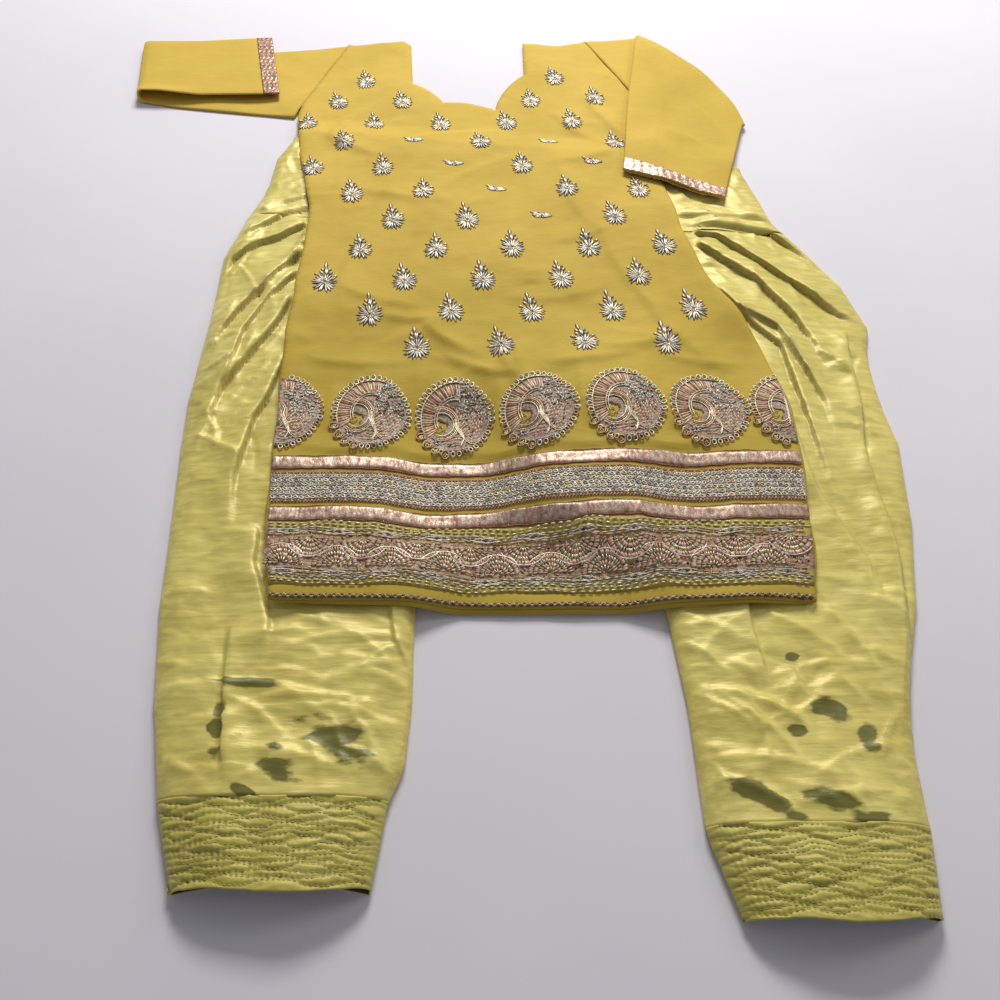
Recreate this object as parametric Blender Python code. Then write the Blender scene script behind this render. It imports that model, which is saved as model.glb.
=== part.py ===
"""A salwar kameez suit laid flat: an embroidered tunic lying on its gathered trousers.

Every piece of cloth is a thin closed wall. X runs across the suit, Y from the trouser cuffs to
the tunic's shoulders, and Z up from the surface it lies on. The origin is under its middle.
"""

import math
from collections import namedtuple

import bmesh
import bpy
import numpy as np

# Driving dimensions, in metres
KAMEEZ_WALL = 0.0012  # silk with its backing
SALWAR_WALL = 0.0014  # gathered satin
TRIM_WALL = 0.0010  # ribbons, bands and embroidered patches
SEAM = 0.0003  # between two pieces sewn edge to edge or laid on each other
LAYER_AIR = 0.0012  # between the tunic's front and back
CLEARANCE = 0.0012  # between the tunic and what it lies on
EASE_IN = 0.004  # height over which that clearance grows from nothing at the floor

KAMEEZ_STEP = 0.055  # facets of the tunic
SALWAR_STEP = 0.028  # facets of the trousers, whose folds are narrower
CUT_REACH = 0.012  # how far a hollow's cutter runs past an open end

HEM_Y = -0.393
BELT_SEAM_Y = 0.20  # of the belt's seam at its left end
BELT_SEAM_TILT = 0.06  # fall of that seam for each metre to the right
CUFF_DEPTH = 0.072

# The tunic's side edges, a row for each height above the trouser cuffs
KameezRow = namedtuple("KameezRow", "y left right")
KAMEEZ_ROWS = (
    KameezRow(HEM_Y, -0.147, 0.368),
    KameezRow(-0.350, -0.160, 0.378),
    KameezRow(-0.220, -0.171, 0.386),
    KameezRow(-0.130, -0.175, 0.385),
    KameezRow(-0.025, -0.181, 0.364),
    KameezRow(0.035, -0.181, 0.336),
    KameezRow(0.090, -0.178, 0.320),
    KameezRow(0.180, -0.178, 0.302),
    KameezRow(0.250, -0.191, 0.293),
    KameezRow(0.340, -0.212, 0.287),
    KameezRow(0.440, -0.230, 0.284),
)

# The tunic's edge from the right armpit over the right shoulder, round the scalloped neck and
# over the left shoulder to the left armpit
Corner = namedtuple("Corner", "x y")
KAMEEZ_TOP = (
    Corner(0.283, 0.470),
    Corner(0.205, 0.655),
    Corner(0.166, 0.645),
    Corner(0.106, 0.650),
    Corner(0.108, 0.584),
    Corner(0.103, 0.535),
    Corner(0.088, 0.522),
    Corner(0.077, 0.496),
    Corner(0.070, 0.473),
    Corner(0.063, 0.459),
    Corner(0.044, 0.470),
    Corner(0.025, 0.475),
    Corner(-0.020, 0.481),
    Corner(-0.030, 0.497),
    Corner(-0.045, 0.516),
    Corner(-0.063, 0.527),
    Corner(-0.068, 0.580),
    Corner(-0.073, 0.645),
    Corner(-0.085, 0.660),
    Corner(-0.139, 0.645),
    Corner(-0.172, 0.641),
    Corner(-0.226, 0.470),
)

# Bands across the tunic's front: lower and upper edge above the hem line
Band = namedtuple("Band", "name y_low y_high colour")
BANDS = (
    Band("hem_piping", -0.3925, -0.386, "piping"),
    Band("embroidered_border", -0.377, -0.3035, "border"),
    Band("ribbon_lower", -0.301, -0.285, "ribbon"),
    Band("zari_band", -0.278, -0.242, "zari"),
    Band("ribbon_upper", -0.235, -0.219, "ribbon"),
)
BAND_INSET = 0.002  # from the side seams
ROUNDEL_Y = -0.157
ROUNDEL_WIDTH = 0.084
ROUNDEL_HEIGHT = 0.108
ROUNDEL_X = (-0.166, -0.071, 0.020, 0.112, 0.206, 0.297, 0.384)
ROUNDEL_SIDES = 18

# Where the salwar's outer and inner edges run. The inner ones start below the crotch.
SalwarEdge = namedtuple("SalwarEdge", "x y")
LEFT_OUTER = (
    SalwarEdge(-0.226, 0.388),
    SalwarEdge(-0.245, 0.335),
    SalwarEdge(-0.248, 0.262),
    SalwarEdge(-0.266, 0.200),
    SalwarEdge(-0.283, 0.119),
    SalwarEdge(-0.280, 0.015),
    SalwarEdge(-0.281, -0.125),
    SalwarEdge(-0.276, -0.190),
    SalwarEdge(-0.266, -0.290),
    SalwarEdge(-0.257, -0.390),
    SalwarEdge(-0.241, -0.490),
    SalwarEdge(-0.219, -0.580),
    SalwarEdge(-0.193, -0.652),
)
RIGHT_OUTER = (
    SalwarEdge(0.404, 0.312),
    SalwarEdge(0.420, 0.240),
    SalwarEdge(0.432, 0.180),
    SalwarEdge(0.466, 0.120),
    SalwarEdge(0.494, 0.065),
    SalwarEdge(0.511, -0.010),
    SalwarEdge(0.499, -0.052),
    SalwarEdge(0.497, -0.125),
    SalwarEdge(0.503, -0.190),
    SalwarEdge(0.491, -0.290),
    SalwarEdge(0.470, -0.390),
    SalwarEdge(0.446, -0.461),
    SalwarEdge(0.431, -0.525),
    SalwarEdge(0.426, -0.606),
    SalwarEdge(0.417, -0.674),
)
LEFT_INNER = (
    SalwarEdge(0.070, -0.294),
    SalwarEdge(0.032, -0.318),
    SalwarEdge(0.000, -0.352),
    SalwarEdge(-0.011, -0.395),
    SalwarEdge(-0.009, -0.490),
    SalwarEdge(-0.012, -0.550),
    SalwarEdge(-0.024, -0.580),
    SalwarEdge(-0.033, -0.652),
)
RIGHT_INNER = (
    SalwarEdge(0.144, -0.294),
    SalwarEdge(0.190, -0.318),
    SalwarEdge(0.220, -0.352),
    SalwarEdge(0.230, -0.404),
    SalwarEdge(0.238, -0.493),
    SalwarEdge(0.240, -0.606),
    SalwarEdge(0.261, -0.674),
)
CROTCH = SalwarEdge(0.107, -0.286)
CENTRE_TOP = SalwarEdge(0.085, 0.350)

# How full the salwar lies along its length: height at mid leg, and how far the edge rounds over
Fill = namedtuple("Fill", "y height rounding")
SALWAR_FILL = (
    Fill(-0.680, 0.034, 0.080),
    Fill(-0.600, 0.025, 0.065),
    Fill(-0.500, 0.018, 0.045),
    Fill(-0.390, 0.015, 0.035),
    Fill(-0.100, 0.014, 0.030),
    Fill(0.200, 0.012, 0.025),
    Fill(0.390, 0.009, 0.020),
)
SALWAR_RIM = 0.0042  # height of the folded edge
FOLD_FADE = 0.02  # folds and swells die out over this distance from that edge

# Long folds outside the tunic: start, middle and end, how high they stand and how wide they are
Fold = namedtuple("Fold", "x0 y0 x1 y1 x2 y2 rise width")
FOLDS = (
    Fold(-0.192, 0.190, -0.232, 0.165, -0.268, 0.110, 0.008, 0.014),
    Fold(-0.180, 0.155, -0.238, 0.100, -0.270, 0.040, 0.009, 0.015),
    Fold(-0.180, 0.105, -0.225, 0.030, -0.258, -0.050, 0.009, 0.014),
    Fold(-0.182, 0.050, -0.222, -0.040, -0.246, -0.150, 0.010, 0.015),
    Fold(-0.178, -0.030, -0.214, -0.110, -0.230, -0.260, 0.009, 0.016),
    Fold(0.350, 0.170, 0.430, 0.140, 0.482, 0.055, 0.009, 0.015),
    Fold(0.335, 0.140, 0.415, 0.090, 0.488, 0.020, 0.010, 0.015),
    Fold(0.330, 0.105, 0.402, 0.040, 0.455, -0.060, 0.012, 0.016),
    Fold(0.345, 0.060, 0.410, -0.020, 0.440, -0.180, 0.012, 0.016),
    Fold(0.372, 0.000, 0.420, -0.110, 0.436, -0.300, 0.010, 0.016),
    Fold(0.478, -0.040, 0.484, -0.150, 0.466, -0.340, -0.006, 0.012),
    Fold(0.300, -0.385, 0.302, -0.440, 0.309, -0.500, 0.004, 0.012),
    Fold(-0.184, -0.400, -0.176, -0.480, -0.160, -0.570, 0.004, 0.012),
)

# Broad swells of the cloth heaped between the legs, under the tunic
Swell = namedtuple("Swell", "x y reach rise")
SWELLS = (
    Swell(0.190, -0.150, 0.075, 0.016),
    Swell(0.175, -0.270, 0.050, 0.010),
    Swell(0.340, -0.200, 0.070, 0.006),
    Swell(-0.090, -0.250, 0.080, 0.004),
    Swell(0.030, -0.250, 0.060, -0.004),
)

DRAPE_CELL = 0.01
DRAPE_REACH = 0.04  # half the width of a hollow that the tunic bridges
FIELD = namedtuple("Field", "x0 y0 nx ny")(-0.65, -0.82, 130, 164)
WELD_WITHIN = 2e-5  # a lattice line this near a corner runs through it

# Each sleeve is a flattened tube that runs out from its armhole to a fold and back over itself.
# A section has its ends on the sleeve's upper and underarm edges, the bow of its middle along the
# sleeve, how far it has climbed from the lower run to the upper one, and how far it has turned.
Section = namedtuple("Section", "top_x top_y under_x under_y bow climb turn")
LEFT_SLEEVE = (
    Section(-0.1726, 0.6412, -0.2348, 0.4425, 0.000, 0.0, 0),
    Section(-0.2860, 0.6270, -0.3490, 0.4600, 0.000, 0.0, 0),
    Section(-0.4000, 0.6330, -0.4200, 0.4720, 0.000, 0.0, 0),
    Section(-0.4950, 0.6430, -0.4720, 0.4840, 0.000, 0.0, 0),
    Section(-0.4985, 0.6435, -0.4755, 0.4855, 0.000, 0.3, 60),
    Section(-0.4985, 0.6440, -0.4755, 0.4880, 0.000, 0.7, 120),
    Section(-0.4950, 0.6445, -0.4720, 0.4900, 0.000, 1.0, 180),
    Section(-0.4100, 0.6440, -0.3900, 0.4860, 0.000, 1.0, 180),
    Section(-0.3200, 0.6530, -0.2850, 0.4880, 0.000, 1.0, 180),
)
LEFT_TRIM = (
    Section(-0.3197, 0.6530, -0.2847, 0.4880, 0.000, 1.0, 180),
    Section(-0.2960, 0.6540, -0.2610, 0.4890, 0.000, 1.0, 180),
)
RIGHT_SLEEVE = (
    Section(0.2056, 0.6558, 0.2842, 0.4705, 0.000, 0.0, 0),
    Section(0.2350, 0.6600, 0.3500, 0.4480, 0.016, 0.0, 0),
    Section(0.2880, 0.6690, 0.4240, 0.4180, 0.032, 0.0, 0),
    Section(0.2920, 0.6710, 0.4280, 0.4180, 0.034, 0.3, 60),
    Section(0.2920, 0.6700, 0.4285, 0.4160, 0.034, 0.7, 120),
    Section(0.2890, 0.6650, 0.4250, 0.4140, 0.032, 1.0, 180),
    Section(0.2800, 0.6050, 0.4220, 0.4000, 0.027, 1.0, 180),
    Section(0.2710, 0.5450, 0.4170, 0.3820, 0.022, 1.0, 180),
    Section(0.2630, 0.4870, 0.4110, 0.3580, 0.016, 1.0, 180),
    Section(0.2560, 0.4300, 0.4040, 0.3330, 0.010, 1.0, 180),
    Section(0.2490, 0.3800, 0.3950, 0.3050, 0.004, 1.0, 180),
    Section(0.2415, 0.3320, 0.3840, 0.2760, 0.000, 1.0, 180),
)
RIGHT_TRIM = (
    Section(0.2414, 0.3316, 0.3839, 0.2756, 0.000, 1.0, 180),
    Section(0.2380, 0.3090, 0.3770, 0.2540, 0.000, 1.0, 180),
)
SLEEVE_SPANS = 5  # facets across a sleeve
SLEEVE_HALF = 0.0019  # half its flattened thickness
SLEEVE_WALL = 0.0011
SLEEVE_LOW = 0.0022  # height of the lower run's middle above the floor

COLOURS = {
    "kameez": (0.62, 0.43, 0.08, 1.0),
    "salwar": (0.62, 0.58, 0.16, 1.0),
    "ribbon": (0.80, 0.56, 0.47, 1.0),
    "zari": (0.52, 0.48, 0.42, 1.0),
    "border": (0.56, 0.36, 0.20, 1.0),
    "roundel": (0.60, 0.42, 0.30, 1.0),
    "piping": (0.30, 0.20, 0.06, 1.0),
}
ROUGHNESS = {"kameez": 0.62, "salwar": 0.38, "ribbon": 0.35, "zari": 0.40}


def clear_scene():
    for item in list(bpy.data.objects):
        bpy.data.objects.remove(item, do_unlink=True)


def finish_of(kind):
    """The plain finish of one kind of cloth."""
    name = f"cloth_{kind}"
    if name in bpy.data.materials:
        return bpy.data.materials[name]
    material = bpy.data.materials.new(name)
    material.use_nodes = True
    shader = material.node_tree.nodes["Principled BSDF"]
    shader.inputs["Base Color"].default_value = COLOURS[kind]
    shader.inputs["Roughness"].default_value = ROUGHNESS.get(kind, 0.5)
    shader.inputs["Metallic"].default_value = 0.4 if kind in ("zari", "ribbon") else 0.0
    return material


def piece(name, points, faces, kind):
    mesh = bpy.data.meshes.new(name)
    mesh.from_pydata(points, [], faces)
    mesh.materials.append(finish_of(kind))
    item = bpy.data.objects.new(name, mesh)
    bpy.context.scene.collection.objects.link(item)
    return item


def hollow_out(item, cutter):
    """Cut an open hollow from a solid piece. The cutter is a guide and isn't part of the suit."""
    cutter.hide_render = True
    cutter.display_type = "WIRE"
    cut = item.modifiers.new("hollow", "BOOLEAN")
    cut.operation = "DIFFERENCE"
    cut.solver = "EXACT"
    cut.object = cutter


def distance_to(line, x, y):
    """Distance in plan from points to a run of straight stretches."""
    best = np.full(np.shape(x), np.inf)
    for a, b in zip(line[:-1], line[1:]):
        dx, dy = b[0] - a[0], b[1] - a[1]
        along = ((x - a[0]) * dx + (y - a[1]) * dy) / (dx * dx + dy * dy)
        along = np.clip(along, 0.0, 1.0)
        best = np.minimum(best, np.hypot(x - a[0] - along * dx, y - a[1] - along * dy))
    return best


def across(line, y):
    """Where an edge that runs down the suit crosses the height y."""
    rows = sorted((point[1], point[0]) for point in line)
    return np.interp(y, [row[0] for row in rows], [row[1] for row in rows])


def bend(fold, stretches=6):
    """Points of a fold's curve through its start, middle and end."""
    points = []
    for step in range(stretches + 1):
        t = step / stretches
        start, middle, end = (1 - t) * (1 - 2 * t), 4 * t * (1 - t), t * (2 * t - 1)
        points.append(
            (
                start * fold.x0 + middle * fold.x1 + end * fold.x2,
                start * fold.y0 + middle * fold.y1 + end * fold.y2,
            )
        )
    return points


def belt_seam(x):
    """The seam line between the belt and the legs falls slightly from left to right."""
    return BELT_SEAM_Y - BELT_SEAM_TILT * (x - LEFT_OUTER[3].x)


def salwar_top(x, y):
    """Height of the trousers' upper layer."""
    x, y = np.asarray(x, float), np.asarray(y, float)
    height = np.interp(y, [row.y for row in SALWAR_FILL], [row.height for row in SALWAR_FILL])
    rounding = np.interp(
        y, [row.y for row in SALWAR_FILL], [row.rounding for row in SALWAR_FILL]
    )
    inner = (*reversed(LEFT_INNER), CROTCH, *RIGHT_INNER)
    edge = np.minimum(distance_to(LEFT_OUTER, x, y), distance_to(RIGHT_OUTER, x, y))
    edge = np.minimum(edge, distance_to(inner, x, y))
    near = 1.0 - np.clip(edge / rounding, 0.0, 1.0)
    body = SALWAR_RIM + (height - SALWAR_RIM) * np.sqrt(1.0 - near**2)
    inward = np.clip(edge / FOLD_FADE, 0.0, 1.0)
    for fold in FOLDS:
        away = distance_to(bend(fold), x, y) / fold.width
        body = body + fold.rise * np.exp(-(away**2)) * inward
    for swell in SWELLS:
        away = np.hypot(x - swell.x, y - swell.y) / swell.reach
        body = body + swell.rise * np.exp(-(away**2)) * inward
    return np.maximum(body, SALWAR_RIM)


def inside_salwar(x, y):
    left, right = across(LEFT_OUTER, y), across(RIGHT_OUTER, y)
    inner_left, inner_right = across((CROTCH, *LEFT_INNER), y), across((CROTCH, *RIGHT_INNER), y)
    top = np.interp(x, [LEFT_OUTER[0].x, RIGHT_OUTER[0].x], [LEFT_OUTER[0].y, RIGHT_OUTER[0].y])
    between = (y < CROTCH.y) & (x > inner_left) & (x < inner_right)
    return (x > left) & (x < right) & (y < top) & ~between


def spread(heights, reach, take):
    """Take the greatest or the mean height within a square reach, along X and then Y."""
    cells = round(reach / DRAPE_CELL)
    for axis in (0, 1):
        heights = take([np.roll(heights, k, axis) for k in range(-cells, cells + 1)], axis=0)
    return heights


def drape(under):
    """A smooth cover that never dips below `under`: the highest points, spread and then eased."""
    return spread(spread(under, DRAPE_REACH, np.max), DRAPE_REACH, np.mean)


def field_points():
    xs = FIELD.x0 + DRAPE_CELL * np.arange(FIELD.nx)
    ys = FIELD.y0 + DRAPE_CELL * np.arange(FIELD.ny)
    return np.meshgrid(xs, ys, indexing="ij")


def read_field(heights, x, y):
    """Height between the points of a field, read straight across each cell."""
    i, u = divmod((x - FIELD.x0) / DRAPE_CELL, 1)
    j, v = divmod((y - FIELD.y0) / DRAPE_CELL, 1)
    i, j = int(i), int(j)
    low = heights[i, j] * (1 - u) + heights[i + 1, j] * u
    high = heights[i, j + 1] * (1 - u) + heights[i + 1, j + 1] * u
    return low * (1 - v) + high * v


def faceted(rule, step):
    """The rule's surface as flat triangles between the crossings of a square lattice."""
    known = {}

    def corner(i, j):
        if (i, j) not in known:
            known[i, j] = float(rule(i * step, j * step))
        return known[i, j]

    def height(x, y):
        i, j = math.floor(x / step), math.floor(y / step)
        u, v = x / step - i, y / step - j
        if u + v <= 1:
            near, far_x, far_y = corner(i, j), corner(i + 1, j), corner(i, j + 1)
            return near + u * (far_x - near) + v * (far_y - near)
        near, far_x, far_y = corner(i + 1, j + 1), corner(i, j + 1), corner(i + 1, j)
        return near + (1 - u) * (far_x - near) + (1 - v) * (far_y - near)

    return height


def cut_along_lattice(outline, step):
    """The outline filled flat and cut along the lattice's rows, columns and diagonals."""
    flat = bmesh.new()
    flat.faces.new([flat.verts.new((x, y, 0.0)) for x, y in outline])
    for normal in ((1, 0, 0), (0, 1, 0), (1, 1, 0)):
        reaches = [x * normal[0] + y * normal[1] for x, y in outline]
        for line in range(math.floor(min(reaches) / step), math.ceil(max(reaches) / step) + 1):
            place = line * step
            through = (place * normal[0], place * (1 - normal[0]), 0.0)
            parts = flat.verts[:] + flat.edges[:] + flat.faces[:]
            bmesh.ops.bisect_plane(flat, geom=parts, dist=WELD_WITHIN, plane_co=through, plane_no=normal)
    bmesh.ops.triangulate(flat, faces=flat.faces[:])
    flat.verts.index_update()
    points = [(vert.co.x, vert.co.y) for vert in flat.verts]
    faces = [tuple(vert.index for vert in face.verts) for face in flat.faces]
    rims = []
    for edge in flat.edges:
        if edge.is_boundary:
            loop = edge.link_loops[0]
            rims.append((loop.vert.index, loop.link_loop_next.vert.index))
    flat.free()
    return points, faces, rims


def wall(name, outline, step, lower, upper, kind):
    """A closed solid over a plan outline, given anticlockwise, between two height rules."""
    plan, faces, rims = cut_along_lattice(outline, step)
    count = len(plan)
    points = [(x, y, lower(x, y)) for x, y in plan] + [(x, y, upper(x, y)) for x, y in plan]
    solid = [tuple(reversed(face)) for face in faces]
    solid += [tuple(index + count for index in face) for face in faces]
    solid += [(a, b, b + count, a + count) for a, b in rims]
    return piece(name, points, solid, kind)


def tube(name, outline, hollow, step, lower, upper, thickness, kind):
    """A flattened tube of cloth: the solid between two rules, hollowed along its open ends."""
    body = wall(name, outline, step, lower, upper, kind)
    inside = wall(
        f"{name}_hollow",
        hollow,
        step,
        lambda x, y: lower(x, y) + thickness,
        lambda x, y: upper(x, y) - thickness,
        kind,
    )
    hollow_out(body, inside)
    return body


def floor(_x, _y):
    return 0.0


def part_of(line, y_low, y_high):
    """The stretch of an edge between two heights, running downwards."""
    inside = [(point[0], point[1]) for point in line if y_low < point[1] < y_high]
    return [(float(across(line, y_high)), y_high), *inside, (float(across(line, y_low)), y_low)]


def moved(points, dx):
    return [(x + dx, y) for x, y in points]


def build_leg(name, outer, inner, side, cuff_y):
    """One trouser leg from the belt seam to its cuff seam. `side` is -1 on the left."""
    seam = -side * SEAM / 2
    end_y = cuff_y + SEAM / 2
    seam_outer_y = belt_seam(outer[3].x) - SEAM
    outer_run = part_of(outer, end_y, seam_outer_y)
    inner_run = [(CROTCH.x - seam, CROTCH.y), *part_of(inner, end_y, inner[0].y)]
    centre_y = belt_seam(CENTRE_TOP.x) - SEAM
    centre_x = float(np.interp(centre_y, [CROTCH.y, CENTRE_TOP.y], [CROTCH.x, CENTRE_TOP.x]))
    top = [(centre_x - seam, centre_y)]
    outline = top + outer_run + inner_run[::-1]
    past = -side * CUT_REACH
    outer_cut = moved(outer_run, -side * SALWAR_WALL)
    outer_cut = [(outer_cut[0][0], seam_outer_y + CUT_REACH), *outer_cut]
    outer_cut.append((outer_cut[-1][0], end_y - CUT_REACH))
    inner_cut = moved(inner_run[1:], side * SALWAR_WALL)
    inner_cut.append((inner_cut[-1][0], end_y - CUT_REACH))
    crotch_y = CROTCH.y + 3 * SALWAR_WALL
    centre_cut = [(centre_x + past, centre_y + CUT_REACH)]
    crotch_cut = [(CROTCH.x + past, crotch_y), (inner_cut[0][0], crotch_y)]
    hollow = centre_cut + outer_cut + inner_cut[::-1] + crotch_cut[::-1]
    if side > 0:
        outline, hollow = outline[::-1], hollow[::-1]
    top_rule = faceted(salwar_top, SALWAR_STEP)
    tube(name, outline, hollow, SALWAR_STEP, floor, top_rule, SALWAR_WALL, "salwar")


def build_cuff(name, outer, inner, side, cuff_y):
    """The stiff quilted band at the end of a leg, standing open at its mouth."""
    start_y, end_y = cuff_y - SEAM / 2, outer[-1].y
    outer_run, inner_run = part_of(outer, end_y, start_y), part_of(inner, end_y, start_y)
    outline = outer_run + inner_run[::-1]
    outer_cut = moved(outer_run, -side * SALWAR_WALL)
    inner_cut = moved(inner_run, side * SALWAR_WALL)
    hollow = [
        (outer_cut[0][0], start_y + CUT_REACH),
        *outer_cut,
        (outer_cut[-1][0], end_y - CUT_REACH),
        (inner_cut[-1][0], end_y - CUT_REACH),
        *inner_cut[::-1],
        (inner_cut[0][0], start_y + CUT_REACH),
    ]
    if side > 0:
        outline, hollow = outline[::-1], hollow[::-1]
    top_rule = faceted(salwar_top, SALWAR_STEP)
    tube(name, outline, hollow, SALWAR_STEP, floor, top_rule, SALWAR_WALL, "salwar")


def build_belt():
    """The flat band at the waist that both legs are pleated into."""
    left = part_of(LEFT_OUTER, belt_seam(LEFT_OUTER[3].x), LEFT_OUTER[0].y)
    right = part_of(RIGHT_OUTER, belt_seam(RIGHT_OUTER[2].x), RIGHT_OUTER[0].y)
    outline = left + right[::-1]
    left_cut, right_cut = moved(left, SALWAR_WALL), moved(right, -SALWAR_WALL)
    hollow = [
        (left_cut[0][0], left[0][1] + CUT_REACH),
        *left_cut,
        (left_cut[-1][0], left[-1][1] - CUT_REACH),
        (right_cut[-1][0], right[-1][1] - CUT_REACH),
        *right_cut[::-1],
        (right_cut[0][0], right[0][1] + CUT_REACH),
    ]
    top_rule = faceted(salwar_top, SALWAR_STEP)
    tube("salwar_belt", outline, hollow, SALWAR_STEP, floor, top_rule, SALWAR_WALL, "salwar")


def kameez_outline(inset=0.0):
    sides_right = [(row.right - inset, row.y) for row in KAMEEZ_ROWS]
    sides_left = [(row.left + inset, row.y) for row in KAMEEZ_ROWS]
    top = [(corner.x, corner.y) for corner in KAMEEZ_TOP]
    return sides_right + top + sides_left[::-1]


def band_outline(y_low, y_high):
    """A strip across the front between its side seams."""
    left = [(row.y, row.left + BAND_INSET) for row in KAMEEZ_ROWS]
    right = [(row.y, row.right - BAND_INSET) for row in KAMEEZ_ROWS]

    def side(rows, y):
        return float(np.interp(y, [row[0] for row in rows], [row[1] for row in rows]))

    return [
        (side(left, y_low), y_low),
        (side(right, y_low), y_low),
        (side(right, y_high), y_high),
        (side(left, y_high), y_high),
    ]


def roundel_outline(x):
    """A round patch, cut straight where it meets a side seam."""
    points = []
    for step in range(ROUNDEL_SIDES):
        turn = 2 * math.pi * (step + 0.5) / ROUNDEL_SIDES
        py = ROUNDEL_Y + 0.5 * ROUNDEL_HEIGHT * math.sin(turn)
        px = x + 0.5 * ROUNDEL_WIDTH * math.cos(turn)
        rows = [row.y for row in KAMEEZ_ROWS]
        left = np.interp(py, rows, [row.left for row in KAMEEZ_ROWS]) + BAND_INSET
        right = np.interp(py, rows, [row.right for row in KAMEEZ_ROWS]) - BAND_INSET
        points.append((float(np.clip(px, left, right)), py))
    return points


def build_kameez(back_under):
    """Front and back panels, with the trims that lie on the front."""
    back_low = faceted(back_under, KAMEEZ_STEP)

    def raised(lift):
        return lambda x, y: back_low(x, y) + lift

    front = KAMEEZ_WALL + LAYER_AIR
    trim = front + KAMEEZ_WALL + SEAM
    outline = kameez_outline()
    wall("kameez_back", outline, KAMEEZ_STEP, back_low, raised(KAMEEZ_WALL), "kameez")
    wall(
        "kameez_front", outline, KAMEEZ_STEP, raised(front), raised(front + KAMEEZ_WALL), "kameez"
    )
    for band in BANDS:
        strip = band_outline(band.y_low, band.y_high)
        low, high = raised(trim), raised(trim + TRIM_WALL)
        wall(band.name, strip, KAMEEZ_STEP, low, high, band.colour)
    for number, x in enumerate(ROUNDEL_X, 1):
        low, high = raised(trim), raised(trim + TRIM_WALL)
        wall(f"roundel_{number}", roundel_outline(x), KAMEEZ_STEP, low, high, "roundel")


def build_sleeve_tube(name, sections, upper_middle, kind):
    """A flattened tube through the given sections, open at both ends."""
    points, rings = [], []
    for row in sections:
        across_x, across_y = row.under_x - row.top_x, row.under_y - row.top_y
        width = math.hypot(across_x, across_y)
        side = 1 if row.top_x > 0 else -1
        out_x, out_y = -side * across_y / width, side * across_x / width
        turn = math.radians(row.turn)
        rings.append(len(points))
        for inset in (0.0, SLEEVE_WALL):
            half = SLEEVE_HALF - inset
            shares = [
                inset / width + (1 - 2 * inset / width) * k / SLEEVE_SPANS
                for k in range(SLEEVE_SPANS + 1)
            ]
            for way, run in ((-1, shares), (1, shares[::-1])):
                for share in run:
                    bow = row.bow * 4 * share * (1 - share)
                    x = row.top_x + share * across_x + bow * out_x
                    y = row.top_y + share * across_y + bow * out_y
                    middle = (1 - row.climb) * SLEEVE_LOW + row.climb * upper_middle(x, y)
                    lean = -way * half * math.sin(turn)
                    rise = way * half * math.cos(turn)
                    points.append((x + lean * out_x, y + lean * out_y, middle + rise))
    faces = []
    size = 2 * (SLEEVE_SPANS + 1)
    for k in range(size):
        n = (k + 1) % size
        for a, b in zip(rings[:-1], rings[1:]):
            corners = [a + k, b + k, b + n, a + n]
            if k > SLEEVE_SPANS:  # so that the facets of both layers run the same way
                corners = corners[1:] + corners[:1]
            outer = [(corners[0], corners[1], corners[2]), (corners[0], corners[2], corners[3])]
            faces += outer
            faces += [tuple(size + corner for corner in reversed(face)) for face in outer]
        first, last = rings[0], rings[-1]
        faces.append((first + n, first + size + n, first + size + k, first + k))
        faces.append((last + k, last + size + k, last + size + n, last + n))
    if sections[0].top_x < 0:
        faces = [tuple(reversed(face)) for face in faces]
    return piece(name, points, faces, kind)


def main():
    clear_scene()
    build_belt()
    legs = (("left", LEFT_OUTER, LEFT_INNER, -1), ("right", RIGHT_OUTER, RIGHT_INNER, 1))
    for name, outer, inner, side in legs:
        cuff_y = outer[-1].y + CUFF_DEPTH
        build_leg(f"salwar_leg_{name}", outer, inner, side, cuff_y)
        build_cuff(f"salwar_cuff_{name}", outer, inner, side, cuff_y)

    xs, ys = field_points()
    under = np.where(inside_salwar(xs, ys), salwar_top(xs, ys), 0.0)
    cover = drape(under)

    def back_under(x, y):
        height = read_field(cover, x, y)
        return height + CLEARANCE * min(1.0, height / EASE_IN)

    build_kameez(back_under)

    kameez_height = 2 * KAMEEZ_WALL + LAYER_AIR + CLEARANCE
    on_kameez = xs < KAMEEZ_ROWS[-1].right + DRAPE_CELL
    over = cover + np.where(on_kameez, kameez_height, 0.0)
    over = np.maximum(over, SLEEVE_LOW + SLEEVE_HALF)
    bed = drape(over) + CLEARANCE + SLEEVE_HALF

    def right_middle(x, y):
        return read_field(bed, x, y)

    def left_middle(_x, _y):
        return SLEEVE_LOW + 2 * SLEEVE_HALF + 3 * CLEARANCE

    build_sleeve_tube("sleeve_left", LEFT_SLEEVE, left_middle, "kameez")
    build_sleeve_tube("sleeve_left_trim", LEFT_TRIM, left_middle, "ribbon")
    build_sleeve_tube("sleeve_right", RIGHT_SLEEVE, right_middle, "kameez")
    build_sleeve_tube("sleeve_right_trim", RIGHT_TRIM, right_middle, "ribbon")


main()
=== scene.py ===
"""A salwar kameez suit laid flat: an embroidered silk tunic lying on its gathered satin trousers.

Everything is in metres. X runs across the suit, Y from the trouser cuffs to the tunic's
shoulders, and Z up from the surface that the suit lies on.
"""

import math
import random
from collections import namedtuple

import bpy
import numpy as np
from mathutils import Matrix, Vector, geometry, noise


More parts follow.
